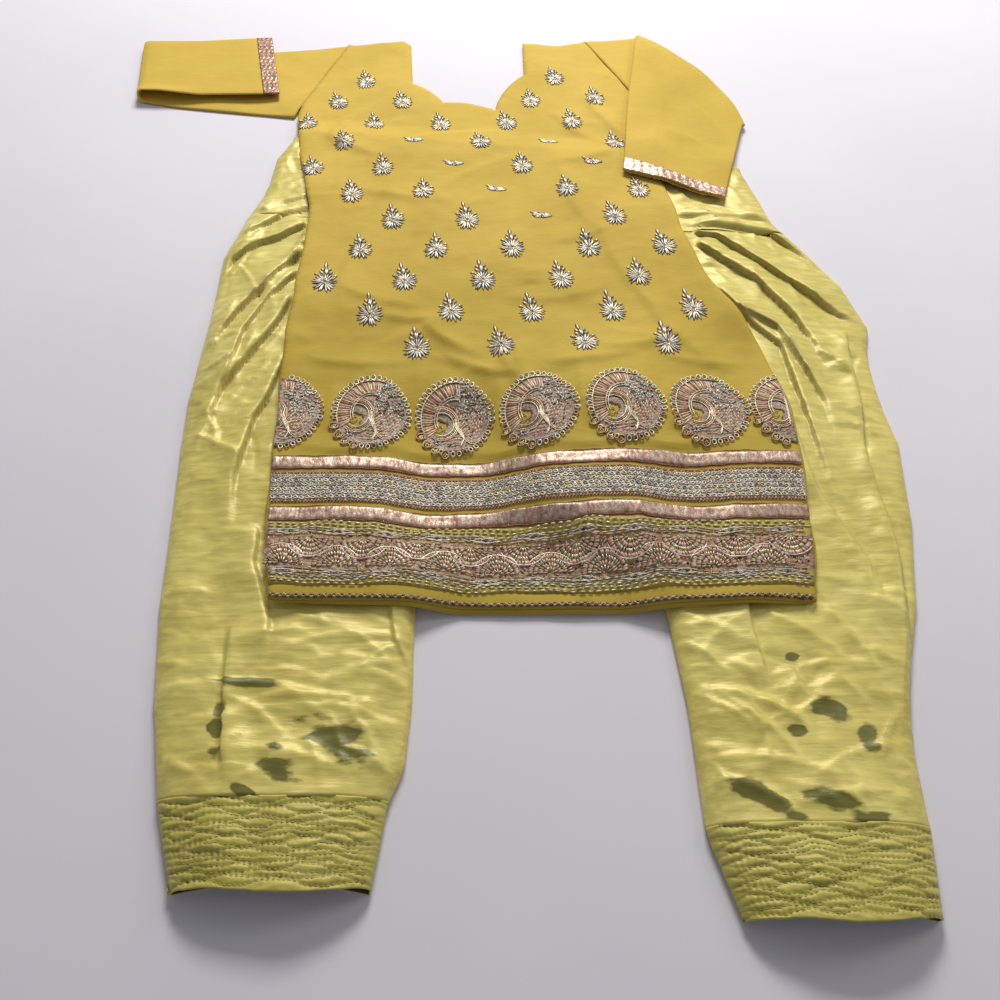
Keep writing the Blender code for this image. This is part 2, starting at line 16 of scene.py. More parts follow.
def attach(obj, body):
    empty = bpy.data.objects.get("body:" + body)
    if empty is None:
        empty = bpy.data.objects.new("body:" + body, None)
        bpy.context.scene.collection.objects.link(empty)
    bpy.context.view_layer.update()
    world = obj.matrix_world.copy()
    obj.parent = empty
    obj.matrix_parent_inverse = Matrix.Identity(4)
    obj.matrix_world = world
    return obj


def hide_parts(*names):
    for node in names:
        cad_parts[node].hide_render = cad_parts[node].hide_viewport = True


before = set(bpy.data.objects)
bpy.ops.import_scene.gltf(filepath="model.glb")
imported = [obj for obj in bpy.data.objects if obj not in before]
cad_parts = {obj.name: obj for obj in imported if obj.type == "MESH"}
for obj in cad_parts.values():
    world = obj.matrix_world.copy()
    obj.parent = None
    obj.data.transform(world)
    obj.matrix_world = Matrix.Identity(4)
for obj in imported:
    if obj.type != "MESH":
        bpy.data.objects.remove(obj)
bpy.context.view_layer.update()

# ---- Camera, light and floor ----
# The camera looks down on the suit from beyond the trouser cuffs. One wide soft light stands past
# the shoulders, a weak one fills in from the viewer's side, and the pale floor lies level.

camera_data = bpy.data.cameras.new("camera")
camera_data.lens = 34.2
camera_data.sensor_width = 36.0
camera = bpy.data.objects.new("camera", camera_data)
camera.location = (0.07, -0.849, 0.80)
camera.rotation_euler = (math.radians(36.4), 0.0, 0.0)
bpy.context.scene.collection.objects.link(camera)
bpy.context.scene.camera = camera
bpy.context.scene.view_settings.view_transform = "Standard"


def soft_light(name, place, target, width, depth, power, colour):
    lamp = bpy.data.lights.new(name, "AREA")
    lamp.shape = "RECTANGLE"
    lamp.size = width
    lamp.size_y = depth
    lamp.energy = power
    lamp.color = colour
    item = bpy.data.objects.new(name, lamp)
    item.location = place
    aim = Vector(target) - Vector(place)
    item.rotation_euler = aim.to_track_quat("-Z", "Y").to_euler()
    bpy.context.scene.collection.objects.link(item)


soft_light("far_light", (0.15, 2.2, 1.8), (0.05, 0.2, 0.0), 1.2, 0.7, 76.0, (1.0, 0.97, 0.955))
soft_light("side_fill", (1.9, 0.5, 1.5), (0.1, 0.0, 0.0), 0.9, 0.9, 8.0, (1.0, 0.97, 0.94))

world = bpy.data.worlds.new("room")
world.use_nodes = True
world.node_tree.nodes["Background"].inputs["Color"].default_value = (0.93, 0.92, 1.0, 1.0)
world.node_tree.nodes["Background"].inputs["Strength"].default_value = 0.26
bpy.context.scene.world = world


def new_finish(name):
    """A material with its node tree and its shader."""
    material = bpy.data.materials.new(name)
    material.use_nodes = True
    return material, material.node_tree, material.node_tree.nodes["Principled BSDF"]


def grain(tree, scale, stretch=(1.0, 1.0, 1.0), turn=0.0, detail=3.0):
    """Noise in the suit's own metres, drawn out along X, Y or Z and turned in plan."""
    place = tree.nodes.new("ShaderNodeTexCoord")
    shift = tree.nodes.new("ShaderNodeMapping")
    shift.inputs["Scale"].default_value = stretch
    shift.inputs["Rotation"].default_value = (0.0, 0.0, turn)
    cloud = tree.nodes.new("ShaderNodeTexNoise")
    cloud.inputs["Scale"].default_value = scale
    cloud.inputs["Detail"].default_value = detail
    tree.links.new(place.outputs["Object"], shift.inputs["Vector"])
    tree.links.new(shift.outputs["Vector"], cloud.inputs["Vector"])
    return cloud.outputs["Fac"]


def stepped(tree, value, stops):
    """A value read through a run of (place, colour) stops."""
    ramp = tree.nodes.new("ShaderNodeValToRGB")
    while len(ramp.color_ramp.elements) < len(stops):
        ramp.color_ramp.elements.new(0.5)
    for element, (place, colour) in zip(ramp.color_ramp.elements, stops):
        element.position = place
        element.color = (*colour, 1.0)
    tree.links.new(value, ramp.inputs["Fac"])
    return ramp.outputs["Color"]


def bumped(tree, shader, *layers):
    """Stacks (value, strength, height) layers of bump on a shader."""
    below = None
    for value, strength, height in layers:
        bump = tree.nodes.new("ShaderNodeBump")
        bump.inputs["Strength"].default_value = strength
        bump.inputs["Distance"].default_value = height
        tree.links.new(value, bump.inputs["Height"])
        if below is not None:
            tree.links.new(below, bump.inputs["Normal"])
        below = bump.outputs["Normal"]
    tree.links.new(below, shader.inputs["Normal"])


floor_finish, tree, shader = new_finish("floor_sheet")
cloud = grain(tree, 2.2, detail=4.0)
tint = stepped(tree, cloud, ((0.3, (0.73, 0.71, 0.76)), (0.7, (0.78, 0.76, 0.80))))
tree.links.new(tint, shader.inputs["Base Color"])
shader.inputs["Roughness"].default_value = 0.75
bumped(tree, shader, (grain(tree, 900.0), 0.12, 0.0004))

FLOOR_REACH = 6.0
floor_mesh = bpy.data.meshes.new("floor")
floor_mesh.from_pydata(
    [(x * FLOOR_REACH, y * FLOOR_REACH, 0.0) for x, y in ((-1, -1), (1, -1), (1, 1), (-1, 1))],
    [],
    [(0, 1, 2, 3)],
)
floor_mesh.materials.append(floor_finish)
floor = bpy.data.objects.new("floor", floor_mesh)
bpy.context.scene.collection.objects.link(floor)

# ---- Salwar legs ----
# Two wide satin trouser legs, joined at the crotch, lie flat under the tunic. Each is a tube cut
# from one width of cloth and pleated into the belt, so long folds run down from the waist.

Edge = namedtuple("Edge", "x y")


def edge_line(*places):
    return tuple(Edge(*place) for place in places)


LEFT_OUTER = edge_line(
    (-0.226, 0.388), (-0.245, 0.335), (-0.248, 0.262), (-0.266, 0.200), (-0.283, 0.119),
    (-0.280, 0.015), (-0.281, -0.125), (-0.276, -0.190), (-0.266, -0.290), (-0.257, -0.390),
    (-0.241, -0.490), (-0.219, -0.580), (-0.193, -0.652),
)
RIGHT_OUTER = edge_line(
    (0.404, 0.312), (0.420, 0.240), (0.432, 0.180), (0.466, 0.120), (0.494, 0.065),
    (0.511, -0.010), (0.499, -0.052), (0.497, -0.125), (0.503, -0.190), (0.491, -0.290),
    (0.470, -0.390), (0.446, -0.461), (0.431, -0.525), (0.426, -0.606), (0.417, -0.674),
)
LEFT_INNER = edge_line(
    (0.070, -0.294), (0.032, -0.318), (0.000, -0.352), (-0.011, -0.395), (-0.009, -0.490),
    (-0.012, -0.550), (-0.024, -0.580), (-0.033, -0.652),
)
RIGHT_INNER = edge_line(
    (0.144, -0.294), (0.190, -0.318), (0.220, -0.352), (0.230, -0.404), (0.238, -0.493),
    (0.240, -0.606), (0.261, -0.674),
)
CROTCH = Edge(0.107, -0.286)
CENTRE_TOP = Edge(0.085, 0.350)
CUFF_DEPTH = 0.072

# How full the salwar lies along its length: height at mid leg, and how far the edge rounds over
Fill = namedtuple("Fill", "y height rounding")
SALWAR_FILL = (
    Fill(-0.68, 0.034, 0.08),
    Fill(-0.6, 0.025, 0.065),
    Fill(-0.5, 0.018, 0.045),
    Fill(-0.39, 0.015, 0.035),
    Fill(-0.1, 0.014, 0.03),
    Fill(0.2, 0.012, 0.025),
    Fill(0.39, 0.009, 0.02),
)
SALWAR_RIM = 0.0042
FOLD_FADE = 0.02

# Broad swells of the cloth heaped between the legs, under the tunic
Swell = namedtuple("Swell", "x y reach rise")
SWELLS = (
    Swell(0.185, -0.15, 0.07, 0.016),
    Swell(0.172, -0.26, 0.055, 0.012),
    Swell(0.34, -0.21, 0.075, 0.01),
    Swell(-0.15, -0.25, 0.06, 0.003),
)
# Where the cloth between the legs is pressed thin, so that the tunic dips
Hollow = namedtuple("Hollow", "x y half_x half_y ramp share")
HOLLOW = Hollow(0.022, -0.235, 0.072, 0.125, 0.035, 0.82)

# Pleats and folds. Each row is a valley line, how far the cloth above it stands over the valley,
# how steep that side is, how wide the crest and the gentle side are, and which side the crest is
# on looking along the line: 1 left, -1 right.
Pleat = namedtuple("Pleat", "line rise steep wide side")
PLEATS = (
    (((-0.18, 0.24), (-0.222, 0.22), (-0.252, 0.196)), 0.006, 0.002, 0.011, -1),
    (((-0.176, 0.214), (-0.218, 0.197), (-0.236, 0.176), (-0.272, 0.14)), 0.009, 0.002, 0.013, -1),
    (((-0.176, 0.18), (-0.215, 0.151), (-0.239, 0.143), (-0.267, 0.108), (-0.276, 0.062)),
     0.01, 0.0018, 0.014, -1),
    (((-0.176, 0.128), (-0.207, 0.08), (-0.244, 0.011), (-0.256, -0.019), (-0.27, -0.075)),
     0.01, 0.0018, 0.014, -1),
    (((-0.176, 0.096), (-0.212, 0.034), (-0.231, -0.019), (-0.238, -0.074), (-0.249, -0.165)),
     0.009, 0.0018, 0.011, -1),
    (((-0.178, 0.046), (-0.199, -0.019), (-0.223, -0.071), (-0.242, -0.11), (-0.252, -0.23)),
     0.01, 0.002, 0.012, -1),
    (((-0.172, -0.05), (-0.188, -0.127), (-0.199, -0.161), (-0.206, -0.24), (-0.196, -0.32)),
     0.009, 0.002, 0.013, -1),
    (((-0.17, -0.3), (-0.169, -0.345), (-0.145, -0.412), (-0.14, -0.45)), 0.006, 0.0025, 0.013, -1),
    (((-0.184, -0.41), (-0.18, -0.47), (-0.17, -0.539), (-0.162, -0.575)), 0.005, 0.0022, 0.01, 1),
    (((-0.036, -0.392), (-0.03, -0.43), (-0.008, -0.47)), 0.005, 0.003, 0.012, 1),
    (((0.3, 0.196), (0.38, 0.19), (0.428, 0.178)), 0.007, 0.0022, 0.011, 1),
    (((0.312, 0.176), (0.38, 0.168), (0.418, 0.16), (0.439, 0.135), (0.478, 0.082)),
     0.01, 0.0018, 0.013, 1),
    (((0.316, 0.16), (0.349, 0.151), (0.386, 0.112), (0.426, 0.065),
      (0.476, 0.004), (0.5, -0.006)), 0.011, 0.0018, 0.014, 1),
    (((0.316, 0.14), (0.34, 0.118), (0.385, 0.07), (0.422, 0.0),
      (0.435, -0.047), (0.444, -0.11)), 0.011, 0.0018, 0.013, 1),
    (((0.33, 0.06), (0.357, 0.016), (0.398, -0.02), (0.411, -0.062),
      (0.428, -0.136), (0.427, -0.21)), 0.011, 0.0018, 0.012, 1),
    (((0.352, 0.02), (0.37, -0.01), (0.397, -0.047), (0.405, -0.157),
      (0.407, -0.208), (0.415, -0.31)), 0.009, 0.002, 0.011, 1),
    (((0.48, -0.02), (0.474, -0.066), (0.471, -0.136), (0.459, -0.216),
      (0.464, -0.336), (0.452, -0.44), (0.43, -0.52)), 0.009, 0.002, 0.013, -1),
    (((0.384, -0.15), (0.391, -0.194), (0.396, -0.248), (0.432, -0.347), (0.438, -0.42)),
     0.006, 0.0022, 0.011, -1),
    (((0.309, -0.37), (0.306, -0.41), (0.309, -0.44), (0.316, -0.497)), 0.007, 0.0025, 0.012, -1),
    (((0.335, -0.455), (0.345, -0.48), (0.352, -0.5)), 0.003, 0.003, 0.01, -1),
)
PLEATS = tuple(Pleat(*row) for row in PLEATS)
PLEAT_SHARE = 0.85  # of its full height that a pleat stands
PLEAT_LEAN = 0.0058  # how far a crest leans over its valley


def held(value):
    """A value kept between 0 and 1."""
    return np.clip(value, 0.0, 1.0)


def distance_to(line, x, y):
    """Distance in plan from points to a run of straight stretches."""
    return beside(line, x, y)[0]


def beside(line, x, y):
    """For each point its distance from a line, how far along it that is, and which side it is on."""
    best = np.full(np.shape(x), np.inf)
    share, side = np.zeros(np.shape(x)), np.ones(np.shape(x))
    count = len(line) - 1
    for k in range(count):
        a, b = line[k], line[k + 1]
        dx, dy = b[0] - a[0], b[1] - a[1]
        along = held(((x - a[0]) * dx + (y - a[1]) * dy) / (dx * dx + dy * dy))
        gap = np.hypot(x - a[0] - along * dx, y - a[1] - along * dy)
        nearer = gap < best
        turn = np.where(dx * (y - a[1]) - dy * (x - a[0]) > 0, 1.0, -1.0)
        best = np.where(nearer, gap, best)
        share = np.where(nearer, (k + along) / count, share)
        side = np.where(nearer, turn, side)
    return best, share, side


def across(line, y, ease=0.0):
    """Where an edge that runs down the suit crosses the height y, its corners eased."""
    rows = sorted((point[1], point[0]) for point in line)
    heights, places = [row[0] for row in rows], [row[1] for row in rows]
    reach = [-1.0, -0.5, 0.0, 0.5, 1.0] if ease else [0.0]
    return sum(np.interp(y + ease * step, heights, places) for step in reach) / len(reach)


def belt_seam(x):
    """The seam between the belt and the legs falls slightly from left to right."""
    return 0.20 - 0.06 * (x + 0.266)


def eased(share):
    """A share from 0 to 1 that starts and ends gently."""
    return share * share * (3 - 2 * share)


def turned(x, y, middle_x, middle_y, turn):
    """Places measured from a middle, along and across a direction."""
    u = (x - middle_x) * math.cos(turn) + (y - middle_y) * math.sin(turn)
    v = (y - middle_y) * math.cos(turn) - (x - middle_x) * math.sin(turn)
    return u, v


def crowded_ends(count, share):
    """Steps from 0 to 1, even but for a share of them drawn towards both ends."""
    even = np.linspace(0.0, 1.0, count)
    return (1 - share) * even + share * (0.5 - 0.5 * np.cos(math.pi * even))


def pleat_height(pleat, x, y):
    """A crest beside a valley line: steep down to the line, gentle away from it."""
    gap, share, side = beside(pleat.line, x, y)
    over = side * pleat.side > 0
    reach = pleat.wide
    crest = (1 - np.exp(-gap / (1.5 * pleat.steep))) * np.exp(-((gap / (1.9 * reach)) ** 2))
    foot = -0.25 * np.exp(-gap / (0.5 * reach))
    fade = eased(held(share / 0.08) * held((1 - share) / 0.35))
    near_side = crest + foot * np.exp(-gap / (1.5 * pleat.steep))
    return PLEAT_SHARE * pleat.rise * np.where(over, near_side, foot) * fade


def salwar_body(x, y, folds=1.0):
    """Height of the trousers' upper layer, with its pleats taken at a share of their height."""
    height = np.interp(y, [row.y for row in SALWAR_FILL], [row.height for row in SALWAR_FILL])
    rounding = np.interp(y, [row.y for row in SALWAR_FILL], [row.rounding for row in SALWAR_FILL])
    inner = (*reversed(LEFT_INNER), CROTCH, *RIGHT_INNER)
    edge = np.minimum(distance_to(LEFT_OUTER, x, y), distance_to(RIGHT_OUTER, x, y))
    edge = np.minimum(edge, distance_to(inner, x, y))
    near = 1.0 - held(edge / rounding)
    body = SALWAR_RIM + (height - SALWAR_RIM) * np.sqrt(1.0 - near**2)
    inward = held(edge / FOLD_FADE)
    for swell in SWELLS:
        away = np.hypot(x - swell.x, y - swell.y) / swell.reach
        body = body + swell.rise * np.exp(-(away**2)) * inward
    inner_x = held((HOLLOW.half_x + HOLLOW.ramp / 2 - np.abs(x - HOLLOW.x)) / HOLLOW.ramp)
    inner_y = held((HOLLOW.half_y + HOLLOW.ramp / 2 - np.abs(y - HOLLOW.y)) / HOLLOW.ramp)
    body = body * (1.0 - HOLLOW.share * inner_x * inner_y)
    soft = np.clip(edge / 0.008, 0.25, 1.0)
    for pleat in PLEATS:
        body = body + pleat_height(pleat, x, y) * folds * soft
    return np.maximum(body, 0.0026)


def crinkled(rows, x, y):
    """Small sharp creases: each row is its middle, direction, length, width and depth."""
    height = np.zeros(np.shape(x))
    for cx, cy, turn, length, width, depth in rows:
        u, v = turned(x, y, cx, cy, turn)
        v = v + 0.18 * length * (u / length) ** 2
        fade = held(1.0 - (u / length) ** 2)
        steep = np.where(v > 0, width * 0.45, width * 1.7)
        height += depth * fade * np.exp(-np.abs(v) / steep)
    return height


def rolling(x, y, size, seed, layers=3):
    """Soft random ground in plan, about -1 to 1."""
    flat = np.empty(x.size)
    for k, (px, py) in enumerate(zip(x.ravel(), y.ravel())):
        flat[k] = noise.fractal((px / size + seed, py / size - seed, seed), 1.0, 2.0, layers)
    return flat.reshape(x.shape)


def papery(x, y, size, seed):
    """Sharp-ridged random ground, about 0 to 1, like cloth that has been crushed."""
    flat = np.empty(x.size)
    for k, (px, py) in enumerate(zip(x.ravel(), y.ravel())):
        place = (px / size + seed, py / size + seed, seed)
        flat[k] = noise.ridged_multi_fractal(place, 1.0, 2.1, 3, 1.0, 2.0)
    return np.clip(flat.reshape(x.shape) / 2.0, 0.0, 1.2)


# Where the satin is crumpled hardest below the tunic: middle, direction, length, width, depth
CRUMPLES = (
    (-0.2, -0.475, 0.1, 0.055, 0.004, 0.003),
    (-0.15, -0.474, -0.05, 0.045, 0.004, 0.003),
    (-0.09, -0.486, -0.08, 0.06, 0.005, 0.0034),
    (-0.06, -0.5, -0.25, 0.05, 0.004, 0.0026),
    (-0.14, -0.422, 0.12, 0.05, 0.004, 0.0026),
    (-0.07, -0.424, 0.05, 0.06, 0.004, 0.003),
    (-0.035, -0.44, 0.6, 0.05, 0.004, 0.0028),
    (-0.195, -0.556, -0.55, 0.045, 0.004, 0.003),
    (-0.15, -0.565, 0.5, 0.045, 0.004, 0.003),
    (-0.11, -0.54, -0.2, 0.06, 0.005, 0.0026),
    (-0.07, -0.572, 0.15, 0.055, 0.004, 0.0028),
    (-0.04, -0.545, -0.5, 0.045, 0.004, 0.0024),
    (0.296, -0.488, -0.35, 0.05, 0.004, 0.0036),
    (0.322, -0.503, -0.6, 0.03, 0.004, 0.0034),
    (0.343, -0.496, 0.55, 0.035, 0.004, 0.0032),
    (0.302, -0.514, -0.8, 0.05, 0.004, 0.0032),
    (0.35, -0.417, -0.6, 0.06, 0.005, 0.0032),
    (0.392, -0.416, -1.0, 0.06, 0.005, 0.0032),
    (0.372, -0.454, 0.05, 0.055, 0.004, 0.0026),
    (0.3, -0.545, -0.15, 0.07, 0.005, 0.0032),
    (0.375, -0.54, 0.35, 0.05, 0.004, 0.003),
    (0.285, -0.572, -0.45, 0.05, 0.004, 0.003),
    (0.345, -0.578, 0.2, 0.06, 0.004, 0.0032),
    (0.4, -0.575, -0.3, 0.04, 0.004, 0.0026),
)


def random_creases(seed, count, low, high, turn, spread, length, depth):
    """Seeded creases within a box, mostly lying one way."""
    draw = random.Random(seed)
    rows = []
    for _ in range(count):
        x, y = draw.uniform(low[0], high[0]), draw.uniform(low[1], high[1])
        way, reach = draw.gauss(turn, spread), draw.uniform(0.5, 1.3) * length
        width, rise = draw.uniform(0.0022, 0.0050), draw.uniform(0.4, 1.3) * depth
        rows.append((x, y, way, reach, width, rise * draw.choice((1, 1, -0.6))))
    return rows


def blended(tree, share, first, second, way="MIX"):
    """Two colours mixed by a share, each a socket or three numbers."""
    mix = tree.nodes.new("ShaderNodeMix")
    mix.data_type = "RGBA"
    mix.blend_type = way
    for socket, value in ((mix.inputs[0], share), (mix.inputs[6], first), (mix.inputs[7], second)):
        if isinstance(value, bpy.types.NodeSocket):
            tree.links.new(value, socket)
        elif isinstance(value, tuple):
            socket.default_value = (*value, 1.0)
        else:
            socket.default_value = value
    return mix.outputs[2]


def stored(tree, name):
    """A share that every point of the mesh carries, read by its name."""
    source = tree.nodes.new("ShaderNodeAttribute")
    source.attribute_name = name
    return source.outputs["Fac"]


def worked_out(tree, operation, value, amount=0.5):
    """A value after one step of arithmetic with a number or another value."""
    step = tree.nodes.new("ShaderNodeMath")
    step.operation = operation
    tree.links.new(value, step.inputs[0])
    if isinstance(amount, bpy.types.NodeSocket):
        tree.links.new(amount, step.inputs[1])
    else:
        step.inputs[1].default_value = amount
    return step.outputs["Value"]


BLACK = (0.0, 0.0, 0.0)
WHITE = (1.0, 1.0, 1.0)


def satin_finish():
    """Yellow-green satin: long horizontal floats of thread, with painted highlight streaks along
    them, painted shade in the valleys between pleats, and olive patches."""
    material, tree, shader = new_finish("salwar_satin")
    threads = grain(tree, 420.0, (0.10, 1.0, 1.0), detail=2.0)
    streaks = grain(tree, 160.0, (0.16, 1.0, 1.0), turn=0.12, detail=3.0)
    clouds = grain(tree, 9.0, detail=4.0)
    base = stepped(
        tree, clouds, ((0.30, (0.66, 0.555, 0.125)), (0.55, (0.74, 0.64, 0.165)), (0.8, (0.80, 0.71, 0.22)))
    )
    # Painted highlight: the streak noise, also used in the bump, lightens the colour in streaks.
    lit = stepped(tree, streaks, ((0.40, (0.90, 0.89, 0.86)), (0.66, (1.10, 1.10, 1.14))))
    colour = blended(tree, 1.0, base, lit, "MULTIPLY")
    # Olive patches: the colour turns dark olive where the stored patch share and ragged noise pass a
    # threshold.
    ragged = grain(tree, 60.0, (0.40, 1.0, 1.0), turn=0.35, detail=6.0)
    marked = worked_out(tree, "ADD", stored(tree, "olive_patch"), ragged)
    marked = worked_out(tree, "MULTIPLY", marked, 0.86)
    where = stepped(tree, marked, ((0.74, BLACK), (0.82, WHITE)))
    colour = blended(tree, where, colour, (0.17, 0.16, 0.025))
    # Painted shade: the colour darkens to olive brown close along the pleats' valley lines.
    colour = blended(tree, stored(tree, "valley"), colour, (0.20, 0.135, 0.02))
    tree.links.new(colour, shader.inputs["Base Color"])
    shader.inputs["Metallic"].default_value = 0.08
    shader.inputs["Roughness"].default_value = 0.46
    shader.inputs["Anisotropic"].default_value = 0.3
    shader.inputs["Sheen Weight"].default_value = 0.15
    shader.inputs["Sheen Roughness"].default_value = 0.4
    bumped(
        tree, shader,
        (grain(tree, 45.0, (0.6, 1.0, 1.0), detail=5.0), 0.40, 0.0022),
        (streaks, 0.42, 0.0012),
        (threads, 0.20, 0.0003),
    )
    return material


satin = satin_finish()

# Olive marks: middle, half length, half width, turn
OLIVE_PATCHES = (
    (-0.072, -0.528, 0.04, 0.016, -0.42),
    (-0.115, -0.557, 0.03, 0.013, -0.45),
    (-0.122, -0.538, 0.012, 0.006, -0.1),
    (-0.142, -0.577, 0.011, 0.006, -0.6),
    (-0.176, -0.515, 0.008, 0.026, 0.1),
    (-0.15, -0.475, 0.03, 0.005, -0.1),
    (0.361, -0.503, 0.018, 0.012, -0.6),
    (0.387, -0.53, 0.01, 0.014, 0.2),
    (0.337, -0.449, 0.007, 0.005, 0.0),
    (0.328, -0.521, 0.009, 0.007, 0.0),
    (0.285, -0.578, 0.028, 0.01, -0.5),
    (0.345, -0.583, 0.036, 0.012, -0.35),
    (0.314, -0.598, 0.014, 0.005, 0.0),
    (0.38, -0.596, 0.012, 0.004, 0.1),
)


def mark_patches_and_valley_shade(mesh, marks, strength=0.60):
    """Stores how strongly each point lies in an olive patch, and the painted shade along pleat valleys."""
    count = len(mesh.vertices)
    points = np.empty(count * 3)
    mesh.vertices.foreach_get("co", points)
    x, y, z = points.reshape(-1, 3).T
    share = np.zeros(count)
    for cx, cy, long, short, turn in marks:
        u, v = turned(x, y, cx, cy, turn)
        share = np.maximum(share, np.exp(-0.55 * (u / long) ** 2 - 0.55 * (v / short) ** 2))
    share = np.where(z > 0.006, share * strength, 0.0)
    layer = mesh.attributes.new("olive_patch", "FLOAT", "POINT")
    layer.data.foreach_set("value", share.astype(np.float32))
    # Painted shade: a share, strongest on each tall pleat's valley line, that darkens the satin's colour
    # there.
    deep = np.zeros(count)
    for pleat in PLEATS:
        gap, along, _ = beside(pleat.line, x, y)
        ends = held(along / 0.10) * held((1.0 - along) / 0.35)
        depth = 0.62 * (pleat.rise / 0.011) ** 2
        deep = np.maximum(deep, depth * ends * np.exp(-((gap / 0.0020) ** 2)))
    layer = mesh.attributes.new("valley", "FLOAT", "POINT")
    layer.data.foreach_set("value", np.where(z > 0.006, deep, 0.0).astype(np.float32))


def cloth(name, points, faces, finish, thickness=0.0):
    """A piece of the suit as an object, thickened inwards where asked."""
    mesh = bpy.data.meshes.new(name)
    mesh.from_pydata([tuple(map(float, point)) for point in points], [], faces)
    mesh.materials.append(finish)
    mesh.polygons.foreach_set("use_smooth", [True] * len(mesh.polygons))
    item = bpy.data.objects.new(name, mesh)
    bpy.context.scene.collection.objects.link(item)
    if thickness:
        wall = item.modifiers.new("wall", "SOLIDIFY")
        wall.thickness = thickness
        wall.offset = -1.0
        wall.use_quality_normals = False
    return item


def tube_faces(rows, size):
    """Four-sided faces round a tube of `rows` rings with `size` points each."""
    faces = []
    for k in range(rows - 1):
        for n in range(size):
            m = (n + 1) % size
            a, b = k * size, (k + 1) * size
            faces.append((a + n, b + n, b + m, a + m))
    return faces


UNDER_INSET = 0.0016
UNDER_HEIGHT = 0.0004
LEAST_TOP = 0.0030


def ring_points(top_x, top_y, top_z, ends, under_y, under_shares, side=-1):
    """One ring of a flattened tube: its upper part, then its underside lying on the floor."""
    first, last = ends[0] - UNDER_INSET * side, ends[1] + UNDER_INSET * side
    under_x = first + (last - first) * under_shares
    under_z = np.full(len(under_shares), UNDER_HEIGHT)
    upper = np.stack([top_x, top_y, np.maximum(top_z, LEAST_TOP)], axis=1)
    return list(upper) + list(np.stack([under_x, under_y, under_z], axis=1))


LEG_WALL = 0.0011
LEG_STEP = 0.0032
LEG_COLUMNS = 84
BOTTOM_COLUMNS = 14


def inner_edge(side, y):
    """The inside of a leg: the seam between the legs above the crotch, its fold below."""
    line = LEFT_INNER if side < 0 else RIGHT_INNER
    below = across((CROTCH, *line), y, 0.008)
    centre = np.interp(y, [CROTCH.y, CENTRE_TOP.y], [CROTCH.x, CENTRE_TOP.x])
    return np.where(y > CROTCH.y, centre + side * 0.0004, below)


def leg_columns(y):
    """Shares across a leg, crowded towards the part that shows beside and below the tunic."""
    even = crowded_ends(LEG_COLUMNS, 0.25)
    crowded = np.where(even < 0.76, even * 0.46 / 0.76, 0.46 + (even - 0.76) * 0.54 / 0.24)
    share = eased(held((y + 0.36) / 0.10))
    return even * (1 - share) + crowded * share


def leg_surface(side, x, y, crease_rows):
    """Heights of a leg's upper layer, and how far each crest leans over its valley."""
    edge = LEFT_OUTER if side < 0 else RIGHT_OUTER
    height = salwar_body(x, y)
    in_from_edge = np.abs(x - across(edge, y, 0.012))
    in_from_inner = np.abs(x - inner_edge(side, y))
    calm = np.clip(np.minimum(in_from_edge, in_from_inner + 0.004) / 0.020, 0.08, 1.0)
    near_cuff = np.clip((y - (edge[-1].y + CUFF_DEPTH)) / 0.03, 0.3, 1.0)
    height = height + crinkled(crease_rows, x, y) * calm * near_cuff
    height = height + 0.0012 * rolling(x, y * 0.75, 0.045, 3.7, 3) * calm
    height = height + 0.0034 * (papery(x * 0.7, y, 0.042, 7.3) - 0.5) * calm * near_cuff
    lean_x, lean_y = np.zeros(np.shape(x)), np.zeros(np.shape(x))
    for pleat in PLEATS:
        stand = held(pleat_height(pleat, x, y) / (PLEAT_SHARE * pleat.rise)) ** 2
        dx = pleat.line[-1][0] - pleat.line[0][0]
        dy = pleat.line[-1][1] - pleat.line[0][1]
        size = math.hypot(dx, dy)
        lean_x += stand * PLEAT_LEAN * pleat.side * dy / size
        lean_y -= stand * PLEAT_LEAN * pleat.side * dx / size
    return height, lean_x * calm, lean_y * calm


